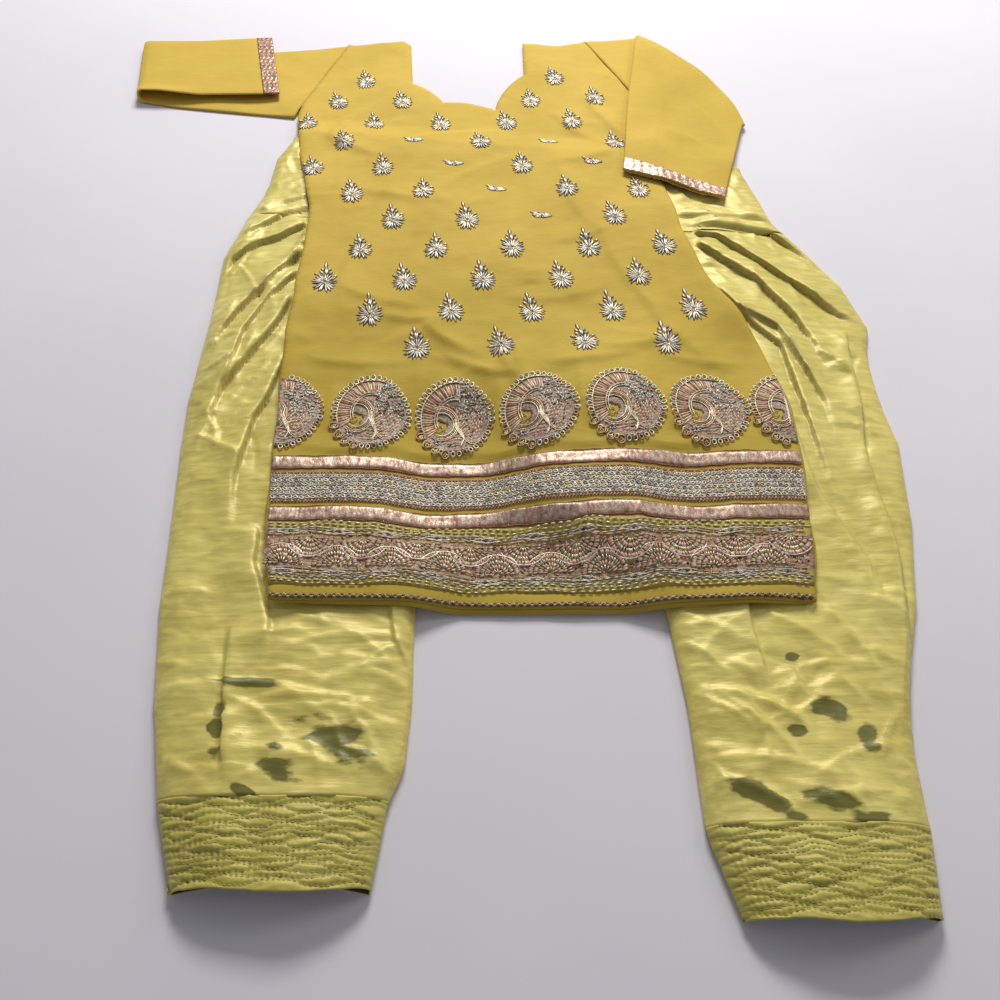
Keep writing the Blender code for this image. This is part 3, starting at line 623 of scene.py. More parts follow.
def build_salwar_leg(name, side, cuff_y):
    """One leg from the belt seam to the cuff seam as a tube of thin cloth."""
    edge = LEFT_OUTER if side < 0 else RIGHT_OUTER
    top_y = 0.2 if side < 0 else belt_seam(0.43)
    rows = round((top_y - cuff_y) / LEG_STEP)
    shares = np.linspace(0.0, 1.0, rows)
    x = np.empty((rows, LEG_COLUMNS))
    y = np.empty((rows, LEG_COLUMNS))
    for k, share in enumerate(shares):
        level = top_y + (cuff_y - top_y) * share
        outer, inner = across(edge, level, 0.012), inner_edge(side, level)
        x[k] = outer + (inner - outer) * leg_columns(level)
        settle = held((level - 0.05) / 0.15)
        y[k] = level + settle * (belt_seam(x[k]) - top_y)
    low = (min(edge[0].x, edge[-1].x) - 0.10, cuff_y) if side < 0 else (0.22, cuff_y)
    high = (-0.02, 0.15) if side < 0 else (0.51, 0.15)
    creases = list(CRUMPLES)
    creases += random_creases(41 + side, 110, low, high, -0.1 * side, 0.55, 0.026, 0.0016)
    creases += random_creases(61 + side, 60, low, (high[0], -0.36), 0.1 * side, 0.75, 0.040, 0.0020)
    upper_low = (-0.29, -0.20) if side < 0 else (0.28, -0.20)
    upper_high = (-0.16, 0.22) if side < 0 else (0.50, 0.22)
    fall = -2.1 if side < 0 else -0.9
    creases += random_creases(81 + side, 70, upper_low, upper_high, fall, 0.50, 0.038, 0.0034)
    z, lean_x, lean_y = leg_surface(side, x, y, creases)
    under_shares = np.linspace(0.0, 1.0, BOTTOM_COLUMNS)[::-1]
    points = []
    for k in range(rows):
        level = np.full(BOTTOM_COLUMNS, y[k].mean())
        if k == 0:
            level = y[k, 0] + (y[k, -1] - y[k, 0]) * under_shares
        top_x, top_y = x[k] + lean_x[k], y[k] + lean_y[k]
        points += ring_points(top_x, top_y, z[k], x[k, [0, -1]], level, under_shares, side)
    size = LEG_COLUMNS + BOTTOM_COLUMNS
    faces = tube_faces(rows, size)
    if side > 0:
        faces = [face[::-1] for face in faces]
    leg = cloth(name, points, faces, satin, LEG_WALL)
    mark_patches_and_valley_shade(leg.data, OLIVE_PATCHES)
    return leg


LEFT_CUFF_Y = LEFT_OUTER[-1].y + CUFF_DEPTH
RIGHT_CUFF_Y = RIGHT_OUTER[-1].y + CUFF_DEPTH
leg_left = build_salwar_leg("salwar_leg_left_cloth", -1, LEFT_CUFF_Y)
leg_right = build_salwar_leg("salwar_leg_right_cloth", 1, RIGHT_CUFF_Y)
for leg, node in ((leg_left, "salwar_leg_left"), (leg_right, "salwar_leg_right")):
    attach(leg, "root")
    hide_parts(node)

# ---- Salwar cuffs ----
# Stiff satin bands at the ends of the legs, padded and stitched across in wavering rows that
# cross into eye shapes. The stiff band buckles a little and its mouth stands open.

quilted, tree, shader = new_finish("quilted_satin")
threads = grain(tree, 500.0, (0.12, 1.0, 1.0), detail=2.0)
clouds = grain(tree, 14.0, detail=4.0)
base = stepped(tree, clouds, ((0.3, (0.50, 0.44, 0.075)), (0.7, (0.60, 0.53, 0.115))))
# Painted shade: the colour darkens along the stitch grooves, by the stored groove share.
colour = blended(tree, stored(tree, "groove"), base, (0.27, 0.23, 0.035))
# Painted shade: dark brown for the cuff's shaded inside, by a stored share.
colour = blended(tree, stored(tree, "wrong_side"), colour, (0.13, 0.085, 0.025))
tree.links.new(colour, shader.inputs["Base Color"])
shader.inputs["Metallic"].default_value = 0.06
shader.inputs["Roughness"].default_value = 0.52
shader.inputs["Sheen Weight"].default_value = 0.15
bumped(
    tree, shader,
    (grain(tree, 260.0, (0.5, 1.0, 1.0), detail=3.0), 0.35, 0.0007),
    (threads, 0.25, 0.0003),
)

CUFF_COLUMNS = 130
CUFF_ROWS = 60
CUFF_UNDER = 40
GROOVE_SHADE = 0.60
CUFF_WALL = 0.0016
STITCH_ROWS = 17
# Each wave of a stitch row: least and greatest rise, least and greatest length
STITCH_WAVES = ((0.0008, 0.0019, 0.035, 0.075),) * 2 + ((0.0003, 0.0006, 0.012, 0.02),)


def stitch_lines(seed):
    """Heights of the stitch rows up the cuff, as waves that near and cross their neighbours."""
    draw = random.Random(seed)
    lines = []
    for k in range(STITCH_ROWS):
        level = (k + 0.7) / STITCH_ROWS * (CUFF_DEPTH - 0.002)
        waves = []
        for low, high, short, long in STITCH_WAVES:
            waves.append((draw.uniform(low, high), draw.uniform(short, long), draw.uniform(0, 6.3)))
        lines.append((level, waves))
    return lines


def stitch_level(line, u):
    level, waves = line
    return level + sum(rise * np.sin(math.tau * u / length + start) for rise, length, start in waves)


BUCKLES = (
    # middle, half width, half depth, rise of the cuff's larger dents and swells
    (-0.158, -0.615, 0.02, 0.02, 0.004),
    (-0.128, -0.622, 0.012, 0.03, -0.003),
    (-0.08, -0.6, 0.03, 0.012, 0.0018),
    (-0.19, -0.61, 0.012, 0.03, -0.0016),
    (0.325, -0.64, 0.024, 0.02, 0.0034),
    (0.36, -0.63, 0.014, 0.028, -0.003),
    (0.292, -0.65, 0.02, 0.02, -0.002),
    (0.392, -0.64, 0.018, 0.024, 0.0022),
)


def build_cuff(name, side, cuff_y, seed):
    """A quilted band from the leg seam to the open mouth, with its rows of running stitch."""
    outer_line = LEFT_OUTER if side < 0 else RIGHT_OUTER
    end_y = outer_line[-1].y
    lines = stitch_lines(seed)
    shares = np.linspace(0.0, 1.0, CUFF_ROWS)
    even = crowded_ends(CUFF_COLUMNS, 0.2)
    x = np.empty((CUFF_ROWS, CUFF_COLUMNS))
    y = np.empty((CUFF_ROWS, CUFF_COLUMNS))
    for k, share in enumerate(shares):
        level = cuff_y + 0.0005 + (end_y - cuff_y) * share
        inner = across(LEFT_INNER if side < 0 else RIGHT_INNER, level, 0.008)
        outer = across(outer_line, level, 0.012)
        x[k] = outer + (inner - outer) * even
        bow = 0.005 * share * np.sin(math.pi * even)
        y[k] = level - bow + 0.0012 * share * np.sin(9.0 * even + side)
    z = salwar_body(x, y)
    edge_gap = np.minimum(np.abs(x - x[:, :1]), np.abs(x - x[:, -1:]))
    calm = held(edge_gap / 0.010)
    for cx, cy, wide, deep, rise in BUCKLES:
        z = z + rise * np.exp(-(((x - cx) / wide) ** 2) - ((y - cy) / deep) ** 2) * calm
    up = y - end_y
    groove = np.zeros(z.shape)
    for k, line in enumerate(lines):
        gap = np.abs(up - stitch_level(line, x))
        groove = np.maximum(groove, np.exp(-((gap / 0.0009) ** 2)))
        pucker = np.sin(math.tau * x / 0.0046 + 1.7 * k + 2.0 * np.sin(x * 90 + k))
        z = z + 0.00055 * pucker * np.exp(-((gap / 0.0022) ** 2)) * calm
        z = z - 0.0017 * np.exp(-gap / 0.0012) * held(calm + 0.3)
    z = z + 0.0012 * rolling(x, y * 2.4, 0.020, 5.1 + side, 3) * calm + 0.0008
    z = z - 0.0010 * np.exp(-((1 - shares[:, None]) * CUFF_DEPTH) / 0.002)
    under_shares = np.linspace(0.0, 1.0, CUFF_UNDER)[::-1]
    points, weights = [], []
    for k in range(CUFF_ROWS):
        bow_y = y[k, 0] + 0.010 * shares[k] * np.sin(math.pi * under_shares)
        points += ring_points(x[k], y[k], z[k], x[k, [0, -1]], bow_y, under_shares, side)
        weights += list(groove[k]) + [0.0] * CUFF_UNDER
    size = CUFF_COLUMNS + CUFF_UNDER
    faces = tube_faces(CUFF_ROWS, size)
    if side > 0:
        faces = [face[::-1] for face in faces]
    outside = cloth(name, points, faces, quilted, CUFF_WALL)
    # Painted shade: how dark each point's colour is painted along the stitch grooves.
    layer = outside.data.attributes.new("groove", "FLOAT", "POINT")
    layer.data.foreach_set("value", np.array(weights, np.float32) * GROOVE_SHADE)
    # The inner faces of the thickened cuff take the painted shade material.
    outside.data.materials.append(wrong_side)
    outside.modifiers["wall"].material_offset = 1
    outside.modifiers["wall"].material_offset_rim = 0

    stitch_points, stitch_faces = [], []
    for line in lines:
        for start in np.arange(x[0].min() + 0.006, x[0].max() - 0.006, 0.0042):
            first = (start, end_y + float(stitch_level(line, start)))
            last = (start + 0.0027, end_y + float(stitch_level(line, start + 0.0027)))
            low_k = (x[:, 0] if side < 0 else x[:, -1]).max()
            high_k = (x[:, -1] if side < 0 else x[:, 0]).min()
            if first[0] < low_k + 0.004 or last[0] > high_k - 0.004 or first[1] > cuff_y - 0.001:
                continue
            heights = []
            for px, py in (first, last):
                row = round((cuff_y - py) / (cuff_y - end_y) * (CUFF_ROWS - 1))
                row = int(np.clip(row, 0, CUFF_ROWS - 1))
                order = np.argsort(x[row])
                heights.append(float(np.interp(px, x[row][order], z[row][order])))
            add_thread(stitch_points, stitch_faces, (*first, heights[0]), (*last, heights[1]), 0.00034)
    threads_piece = cloth(f"{name}_stitches", stitch_points, stitch_faces, quilting_thread)
    return outside, threads_piece


def add_thread(points, faces, start, end, radius, sides=5, lift=0.6):
    """One short stitch: a little arch of round thread that dips into the cloth at both ends."""
    start, end = np.array(start, float), np.array(end, float)
    along = end - start
    length = np.linalg.norm(along) or 1.0
    along = along / length
    sideways = np.cross(along, (0.0, 0.0, 1.0))
    sideways = sideways / (np.linalg.norm(sideways) or 1.0)
    up = np.cross(sideways, along)
    base = len(points)
    for share, size, rise in ((0.0, 0.45, -0.4), (0.25, 1.0, lift), (0.75, 1.0, lift), (1.0, 0.45, -0.4)):
        middle = start + along * (length * share) + up * (radius * rise)
        for k in range(sides):
            turn = math.tau * k / sides
            points.append(middle + radius * size * (math.cos(turn) * sideways + math.sin(turn) * up))
    for ring in range(3):
        a, b = base + ring * sides, base + (ring + 1) * sides
        for k in range(sides):
            m = (k + 1) % sides
            faces.append((a + k, a + m, b + m, b + k))
    faces.append(tuple(base + k for k in reversed(range(sides))))
    faces.append(tuple(base + 3 * sides + k for k in range(sides)))


# Painted shade: near-black brown for the cuffs' inner faces, seen in shade inside their open mouths.
wrong_side, tree, shader = new_finish("cuff_inner_shade")
shade = stepped(
    tree, grain(tree, 60.0, (0.3, 1.0, 1.0)), ((0.3, (0.075, 0.050, 0.016)), (0.7, (0.115, 0.08, 0.028)))
)
tree.links.new(shade, shader.inputs["Base Color"])
shader.inputs["Roughness"].default_value = 0.8
bumped(tree, shader, (grain(tree, 500.0, (0.2, 1.0, 1.0)), 0.3, 0.0004))

quilting_thread, tree, shader = new_finish("quilting_thread")
shade = stepped(tree, grain(tree, 300.0), ((0.3, (0.36, 0.30, 0.045)), (0.7, (0.60, 0.54, 0.12))))
tree.links.new(shade, shader.inputs["Base Color"])
shader.inputs["Roughness"].default_value = 0.45
bumped(tree, shader, (grain(tree, 2500.0), 0.3, 0.0002))

cuff_left, cuff_left_stitches = build_cuff("salwar_cuff_left_cloth", -1, LEFT_CUFF_Y, 5)
cuff_right, cuff_right_stitches = build_cuff("salwar_cuff_right_cloth", 1, RIGHT_CUFF_Y, 8)
for cuff, stitches, node in (
    (cuff_left, cuff_left_stitches, "salwar_cuff_left"),
    (cuff_right, cuff_right_stitches, "salwar_cuff_right"),
):
    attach(cuff, "root")
    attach(stitches, "root")
    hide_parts(node)

# ---- Salwar belt ----
# The flat band at the waist, a doubled strip of the same satin, that the legs are pleated into.
# Most of it lies under the tunic. What shows on each side is crumpled, and bears no drawstring.

BELT_ROWS = 56
BELT_COLUMNS = 110
BELT_UNDER = 20


def build_belt(name):
    """The belt as a tube from its open waist to the seam that holds the pleats."""
    shares = np.linspace(0.0, 1.0, BELT_ROWS)
    even = np.linspace(0.0, 1.0, BELT_COLUMNS)
    even = 0.5 + 0.5 * np.sign(even - 0.5) * np.abs(2 * even - 1) ** 0.62
    x = np.empty((BELT_ROWS, BELT_COLUMNS))
    y = np.empty((BELT_ROWS, BELT_COLUMNS))
    for k, share in enumerate(shares):
        level_left = LEFT_OUTER[0].y + (belt_seam(-0.262) - LEFT_OUTER[0].y) * share
        level_right = RIGHT_OUTER[0].y + (belt_seam(0.43) - RIGHT_OUTER[0].y) * share
        y[k] = level_left + (level_right - level_left) * even
        left, right = across(LEFT_OUTER, level_left, 0.010), across(RIGHT_OUTER, level_right, 0.010)
        x[k] = left + (right - left) * even
    z = salwar_body(x, y, 0.8)
    edge_gap = np.minimum(np.abs(x - x[:, :1]), np.abs(x - x[:, -1:]))
    calm = np.clip(edge_gap / 0.014, 0.05, 1.0)
    ends = np.clip(np.minimum(shares, 1 - shares) / 0.06, 0.25, 1.0)[:, None]
    creases = random_creases(21, 60, (-0.26, 0.20), (-0.17, 0.38), 1.1, 0.7, 0.024, 0.0024)
    creases += random_creases(22, 60, (0.28, 0.18), (0.44, 0.32), -0.9, 0.7, 0.028, 0.0024)
    z = z + (crinkled(creases, x, y) + 0.0026 * rolling(x, y, 0.04, 8.2, 4)) * calm * ends
    under_shares = np.linspace(0.0, 1.0, BELT_UNDER)[::-1]
    points = []
    for k in range(BELT_ROWS):
        under_y = y[k, 0] + (y[k, -1] - y[k, 0]) * under_shares
        points += ring_points(x[k], y[k], z[k], x[k, [0, -1]], under_y, under_shares)
    faces = tube_faces(BELT_ROWS, BELT_COLUMNS + BELT_UNDER)
    return cloth(name, points, faces, satin, LEG_WALL)


belt = build_belt("salwar_belt_cloth")
mark_patches_and_valley_shade(belt.data, ((0.345, 0.200, 0.006, 0.004, 0.3), (0.352, 0.185, 0.004, 0.006, 0.0)), 0.5)
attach(belt, "root")
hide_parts("salwar_belt")

# ---- Tunic panels ----
# Front and back are cut alike from mustard silk and sewn down both sides, with a scalloped neck.
# The front lies over the back and both settle over the trousers, so the cloth rises and dips.

HEM_Y = -0.393
Row = namedtuple("Row", "y left right")
KAMEEZ_ROWS = (
    Row(HEM_Y, -0.147, 0.368),
    Row(-0.35, -0.16, 0.378),
    Row(-0.22, -0.171, 0.386),
    Row(-0.13, -0.175, 0.385),
    Row(-0.025, -0.181, 0.364),
    Row(0.035, -0.181, 0.336),
    Row(0.09, -0.178, 0.32),
    Row(0.18, -0.178, 0.302),
    Row(0.25, -0.191, 0.293),
    Row(0.34, -0.212, 0.287),
    Row(0.44, -0.23, 0.284),
)
SHOULDER_RIGHT = ((0.283, 0.470), (0.205, 0.655), (0.166, 0.645), (0.106, 0.650))
SHOULDER_LEFT = ((-0.073, 0.645), (-0.085, 0.660), (-0.139, 0.645), (-0.172, 0.641), (-0.226, 0.470))
# Corners where the scallops of the neck meet, from the right strap round to the left one, and how
# far the edge bows out between each and the next
NECK_CORNERS = (
    (0.106, 0.650, 0.0),
    (0.107, 0.556, 0.009),
    (0.063, 0.459, 0.006),
    (-0.016, 0.483, 0.006),
    (-0.064, 0.532, 0.0),
    (-0.073, 0.645, 0.0),
)


def neck_curve():
    """The neck edge, each stretch between corners bowing out from the cloth."""
    points = []
    middle = (0.02, 0.62)
    for a, b in zip(NECK_CORNERS[:-1], NECK_CORNERS[1:]):
        dx, dy = b[0] - a[0], b[1] - a[1]
        length = math.hypot(dx, dy)
        out_x, out_y = -dy / length, dx / length
        if (middle[0] - a[0]) * out_x + (middle[1] - a[1]) * out_y < 0:
            out_x, out_y = -out_x, -out_y
        for k in range(14):
            share = k / 14
            rise = a[2] * 4 * share * (1 - share)
            points.append((a[0] + share * dx + rise * out_x, a[1] + share * dy + rise * out_y))
    return points


def spaced_out(line, step):
    """Points about a step apart along a run of straight stretches, without the last."""
    points = []
    for a, b in zip(line[:-1], line[1:]):
        count = max(1, math.ceil(math.hypot(b[0] - a[0], b[1] - a[1]) / step))
        for k in range(count):
            points.append((a[0] + (b[0] - a[0]) * k / count, a[1] + (b[1] - a[1]) * k / count))
    return points


def panel_sides(y):
    """Where the panel's left and right sides stand at a height."""
    return [across([(row[side], row.y) for row in KAMEEZ_ROWS], y, 0.02) for side in (1, 2)]


def kameez_outline(step, drop=0.0):
    """The panel's edge, anticlockwise from the left end of the hem."""
    levels = np.linspace(HEM_Y, KAMEEZ_ROWS[-1].y, 40)
    lefts, rights = panel_sides(levels)
    wave = 0.0010 * np.sin(levels * 70) + 0.0008 * np.sin(levels * 31 + 1.0)
    right = [(rights[k] + wave[k], levels[k]) for k in range(40)]
    left = [(lefts[k] + wave[k], levels[k]) for k in range(40)][::-1]
    hem = []
    for share in np.linspace(0.0, 1.0, 60)[:-1]:
        x = left[-1][0] + (right[0][0] - left[-1][0]) * share
        hem.append((x, HEM_Y - drop * math.sin(math.pi * share) ** 0.5))
    loop = hem + right + list(SHOULDER_RIGHT[:-1]) + neck_curve() + list(SHOULDER_LEFT)
    loop = loop + left[:-1]
    return spaced_out(loop + [loop[0]], step)


def in_outline(outline, x, y):
    """Which points lie inside a closed outline."""
    inside = np.zeros(np.shape(x), bool)
    for a, b in zip(outline, outline[1:] + outline[:1]):
        spans = (a[1] > y) != (b[1] > y)
        if b[1] != a[1]:
            inside ^= spans & (x < (b[0] - a[0]) * (y - a[1]) / (b[1] - a[1]) + a[0])
    return inside


def cut_cloth(outline, step):
    """The outline filled with even triangles: its plan points, triangles and edge loop."""
    xs = np.arange(min(p[0] for p in outline), max(p[0] for p in outline), step)
    ys = np.arange(min(p[1] for p in outline), max(p[1] for p in outline), step * 0.866)
    x, y = np.meshgrid(xs, ys)
    x = x + (np.arange(len(ys)) % 2)[:, None] * step / 2
    x, y = x.ravel(), y.ravel()
    keep = in_outline(outline, x, y)
    x, y = x[keep], y[keep]
    keep = distance_to(outline + outline[:1], x, y) > step * 0.55
    flat = [Vector(point) for point in outline]
    flat += [Vector((px, py)) for px, py in zip(x[keep], y[keep])]
    done = geometry.delaunay_2d_cdt(flat, [], [list(range(len(outline)))], 1, 1e-6)
    plan = np.array([tuple(point) for point in done[0]])
    faces = []
    for face in done[2]:
        a, b, c = (plan[k] for k in face)
        area = (b[0] - a[0]) * (c[1] - a[1]) - (c[0] - a[0]) * (b[1] - a[1])
        faces.append(tuple(face) if area > 0 else tuple(reversed(face)))
    edges = {}
    for face in faces:
        for a, b in zip(face, face[1:] + face[:1]):
            edges[a, b] = True
    rim = [(a, b) for a, b in edges if (b, a) not in edges]
    return plan, faces, rim


def laid_cloth(name, plan, faces, rim, upper, thickness, finish):
    """A closed thin piece: its upper face at given heights and its lower face just beneath."""
    count = len(plan)
    top = np.column_stack([plan, upper])
    low = np.column_stack([plan, upper - thickness])
    solid = list(faces) + [tuple(k + count for k in reversed(face)) for face in faces]
    solid += [(b, a, a + count, b + count) for a, b in rim]
    return cloth(name, np.vstack([top, low]), solid, finish)


FIELD_STEP = 0.005
FIELD_X = np.arange(-0.62, 0.62, FIELD_STEP)
FIELD_Y = np.arange(-0.76, 0.78, FIELD_STEP)
field_x, field_y = np.meshgrid(FIELD_X, FIELD_Y, indexing="ij")


def read_field(field, x, y):
    """Heights between the points of a field."""
    i = np.clip((np.asarray(x) - FIELD_X[0]) / FIELD_STEP, 0, len(FIELD_X) - 1.001)
    j = np.clip((np.asarray(y) - FIELD_Y[0]) / FIELD_STEP, 0, len(FIELD_Y) - 1.001)
    i0, j0 = i.astype(int), j.astype(int)
    u, v = i - i0, j - j0
    low = field[i0, j0] * (1 - u) + field[i0 + 1, j0] * u
    high = field[i0, j0 + 1] * (1 - u) + field[i0 + 1, j0 + 1] * u
    return low * (1 - v) + high * v


def spread(heights, reach, take):
    """Take the greatest or the mean height within a square reach, along X and then Y."""
    cells = round(reach / FIELD_STEP)
    for axis in (0, 1):
        heights = take([np.roll(heights, k, axis) for k in range(-cells, cells + 1)], axis=0)
    return heights


def drape(under, reach):
    """A smooth cover that never dips below what is under it."""
    return spread(spread(under, reach, np.max), reach, np.mean)


def inside_salwar(x, y):
    left, right = across(LEFT_OUTER, y), across(RIGHT_OUTER, y)
    inner_left, inner_right = across((CROTCH, *LEFT_INNER), y), across((CROTCH, *RIGHT_INNER), y)
    top = np.interp(x, [LEFT_OUTER[0].x, RIGHT_OUTER[0].x], [LEFT_OUTER[0].y, RIGHT_OUTER[0].y])
    between = (y < CROTCH.y) & (x > inner_left) & (x < inner_right)
    return (x > left) & (x < right) & (y < top) & ~between


KAMEEZ_WALL = 0.0011
CLEARANCE = 0.0016
PANEL_AIR = 0.0012
salwar_field = np.where(inside_salwar(field_x, field_y), salwar_body(field_x, field_y), 0.0)
panel_edge = [(row.left, row.y) for row in KAMEEZ_ROWS]
panel_edge += [(row.right, row.y) for row in reversed(KAMEEZ_ROWS)]
well_inside = in_outline(panel_edge, field_x, field_y)
side_lines = (panel_edge[: len(KAMEEZ_ROWS)], panel_edge[len(KAMEEZ_ROWS) :])
to_side = np.minimum(*(distance_to(line, field_x, field_y) for line in side_lines))
pressed = np.where(well_inside, np.exp(-to_side / 0.018), 1.0)
base_body = np.where(inside_salwar(field_x, field_y), salwar_body(field_x, field_y, 0.0), 0.0)
pressed_field = base_body + (salwar_field - base_body) * pressed
cover = drape(np.maximum(pressed_field, 0.0), 0.020) + CLEARANCE

# Soft folds in the silk: middle, direction, half length, width, depth
SILK_FOLDS = (
    (-0.15, 0.43, 1.05, 0.07, 0.01, 0.003),
    (-0.12, 0.4, 0.8, 0.07, 0.01, 0.0024),
    (0.215, 0.44, 2.0, 0.08, 0.01, 0.0028),
    (0.18, 0.4, 2.3, 0.07, 0.011, 0.0022),
    (0.02, 0.395, 0.15, 0.09, 0.012, 0.0018),
    (0.045, 0.3, 0.6, 0.09, 0.012, 0.0016),
    (-0.08, 0.25, 1.2, 0.08, 0.012, 0.0018),
    (0.16, 0.24, 1.8, 0.1, 0.012, 0.002),
    (-0.12, 0.1, 1.4, 0.11, 0.012, 0.0018),
    (0.06, 0.12, 1.0, 0.08, 0.012, 0.0014),
    (0.22, 0.08, 1.95, 0.12, 0.012, 0.002),
    (-0.01, -0.02, 0.3, 0.08, 0.012, 0.0016),
    (0.27, -0.03, 2.1, 0.09, 0.01, 0.002),
    (0.09, -0.08, 1.57, 0.04, 0.007, 0.0022),
    (-0.024, -0.14, 1.5, 0.045, 0.006, 0.002),
    (0.066, -0.15, 1.62, 0.045, 0.006, 0.002),
    (0.252, -0.15, 1.5, 0.045, 0.007, 0.0028),
    (0.158, -0.14, 1.66, 0.05, 0.007, 0.0026),
    (-0.119, -0.15, 1.57, 0.04, 0.006, 0.002),
    (0.342, -0.16, 1.7, 0.045, 0.006, 0.0024),
    (0.105, 0.055, 0.2, 0.018, 0.004, -0.0016),
    (0.15, -0.33, 1.45, 0.06, 0.012, 0.003),
    (0.21, -0.33, 1.75, 0.06, 0.012, 0.0026),
    (-0.06, -0.33, 1.55, 0.06, 0.012, 0.0016),
    (0.3, -0.33, 1.6, 0.06, 0.012, 0.0018),
    (-0.029, -0.011, 3.0, 0.06, 0.01, 0.0026),
    (0.006, -0.046, 2.45, 0.06, 0.012, 0.0034),
    (0.042, -0.09, 2.75, 0.05, 0.01, 0.0034),
    (0.075, -0.078, 1.85, 0.05, 0.01, 0.0026),
    (0.172, -0.086, 3.3, 0.06, 0.01, 0.003),
    (-0.101, -0.084, 3.05, 0.06, 0.009, 0.0026),
    (0.232, -0.055, 3.45, 0.06, 0.01, 0.0024),
    (0.298, -0.084, 3.0, 0.05, 0.009, 0.0022),
    (0.142, 0.03, 3.3, 0.07, 0.012, 0.002),
    (-0.075, 0.024, 2.8, 0.07, 0.012, 0.0018),
    (0.186, 0.149, 3.5, 0.07, 0.012, 0.0016),
    (-0.064, 0.229, 2.9, 0.08, 0.012, 0.0018),
    (0.196, 0.323, 3.5, 0.07, 0.011, 0.0016),
    (-0.142, 0.347, 2.6, 0.07, 0.011, 0.002),
)
front_field = cover + CLEARANCE + PANEL_AIR + 2 * KAMEEZ_WALL
puckers = random_creases(31, 70, (-0.17, -0.19), (0.35, 0.02), 0.0, 0.45, 0.026, 0.0016)
puckers += random_creases(32, 26, (-0.17, 0.02), (0.28, 0.30), 0.2, 0.60, 0.034, 0.0012)
puckers += random_creases(33, 18, (-0.20, 0.36), (0.24, 0.58), 0.1, 0.70, 0.034, 0.0010)
# One low fold above the upper ribbon under each pair of roundels
ribbon_folds = [(x, -0.210, math.pi, 0.060, 0.007, 0.0018) for x in np.arange(-0.095, 0.26, 0.086)]
front_field = front_field + crinkled((*SILK_FOLDS, *ribbon_folds), field_x, field_y) * 2.0
front_field = front_field + crinkled(puckers, field_x, field_y)
front_field = front_field + 0.0026 * rolling(field_x, field_y, 0.075, 2.3, 3)


def front_height(x, y):
    """The upper face of the tunic's front."""
    return read_field(front_field, x, y)


def along_y(tree):
    """Where a point lies along the suit."""
    place = tree.nodes.new("ShaderNodeTexCoord")
    axes = tree.nodes.new("ShaderNodeSeparateXYZ")
    tree.links.new(place.outputs["Object"], axes.inputs["Vector"])
    return axes.outputs["Y"]


def silk_finish(name, light, dark, deep):
    """Mustard silk with a faint slub along the weft, soft uneven colour, and painted shade darker towards
    the hem.
    """
    material, tree, shader = new_finish(name)
    clouds = grain(tree, 7.0, detail=5.0)
    base = stepped(tree, clouds, ((0.28, dark), (0.72, light)))
    slub = grain(tree, 620.0, (0.10, 1.0, 1.0), detail=3.0)
    warp = grain(tree, 640.0, (1.0, 0.12, 1.0), detail=2.0)
    lines = stepped(tree, slub, ((0.35, (0.965, 0.965, 0.96)), (0.65, (1.03, 1.03, 1.03))))
    colour = blended(tree, 1.0, base, lines, "MULTIPLY")
    # Painted shade: from y 0.22 down to y -0.16 the colour is multiplied towards `deep`, darker towards the
    # hem.
    down = tree.nodes.new("ShaderNodeMapRange")
    down.inputs["From Min"].default_value = 0.22
    down.inputs["From Max"].default_value = -0.16
    tree.links.new(along_y(tree), down.inputs["Value"])
    colour = blended(tree, down.outputs["Result"], colour, deep, "MULTIPLY")
    tree.links.new(colour, shader.inputs["Base Color"])
    shader.inputs["Roughness"].default_value = 0.68
    shader.inputs["Sheen Weight"].default_value = 0.02
    shader.inputs["Sheen Roughness"].default_value = 0.45
    shader.inputs["Specular IOR Level"].default_value = 0.10
    bumped(
        tree, shader,
        (grain(tree, 26.0, detail=5.0), 0.40, 0.0030),
        (slub, 0.20, 0.0003),
        (warp, 0.16, 0.0003),
    )
    return material


# The last colour is the painted shade towards the hem.
kameez_silk = silk_finish(
    "kameez_silk", (0.70, 0.495, 0.092), (0.57, 0.400, 0.062), (0.80, 0.83, 0.74)
)

FRONT_STEP = 0.0049
BACK_STEP = 0.009
BACK_DROP = 0.0050  # how far the back's hem shows below the front's

plan, faces, rim = cut_cloth(kameez_outline(0.0042), FRONT_STEP)
edge = kameez_outline(0.01)
edge_gap = distance_to(edge + edge[:1], plan[:, 0], plan[:, 1])
armholes = (SHOULDER_RIGHT[:2], SHOULDER_LEFT[-2:])
from_armhole = np.minimum(*(distance_to(line, plan[:, 0], plan[:, 1]) for line in armholes))
droop = 0.0016 * np.exp(-edge_gap / 0.003) * held(from_armhole / 0.010)
front_z = front_height(plan[:, 0], plan[:, 1]) - droop
kameez_front = laid_cloth("kameez_front_cloth", plan, faces, rim, front_z, KAMEEZ_WALL, kameez_silk)

plan, faces, rim = cut_cloth(kameez_outline(0.006, BACK_DROP), BACK_STEP)
back_z = front_height(plan[:, 0], plan[:, 1]) - PANEL_AIR - KAMEEZ_WALL - 0.0006
kameez_back = laid_cloth("kameez_back_cloth", plan, faces, rim, back_z, KAMEEZ_WALL, kameez_silk)
for panel, node in ((kameez_front, "kameez_front"), (kameez_back, "kameez_back")):
    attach(panel, "root")
    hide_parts(node)

# ---- Sleeves ----
# Each sleeve is a silk tube sewn to its armhole. It runs out from the shoulder, folds over and
# comes back across itself, so its open end with the foil trim lies on top.

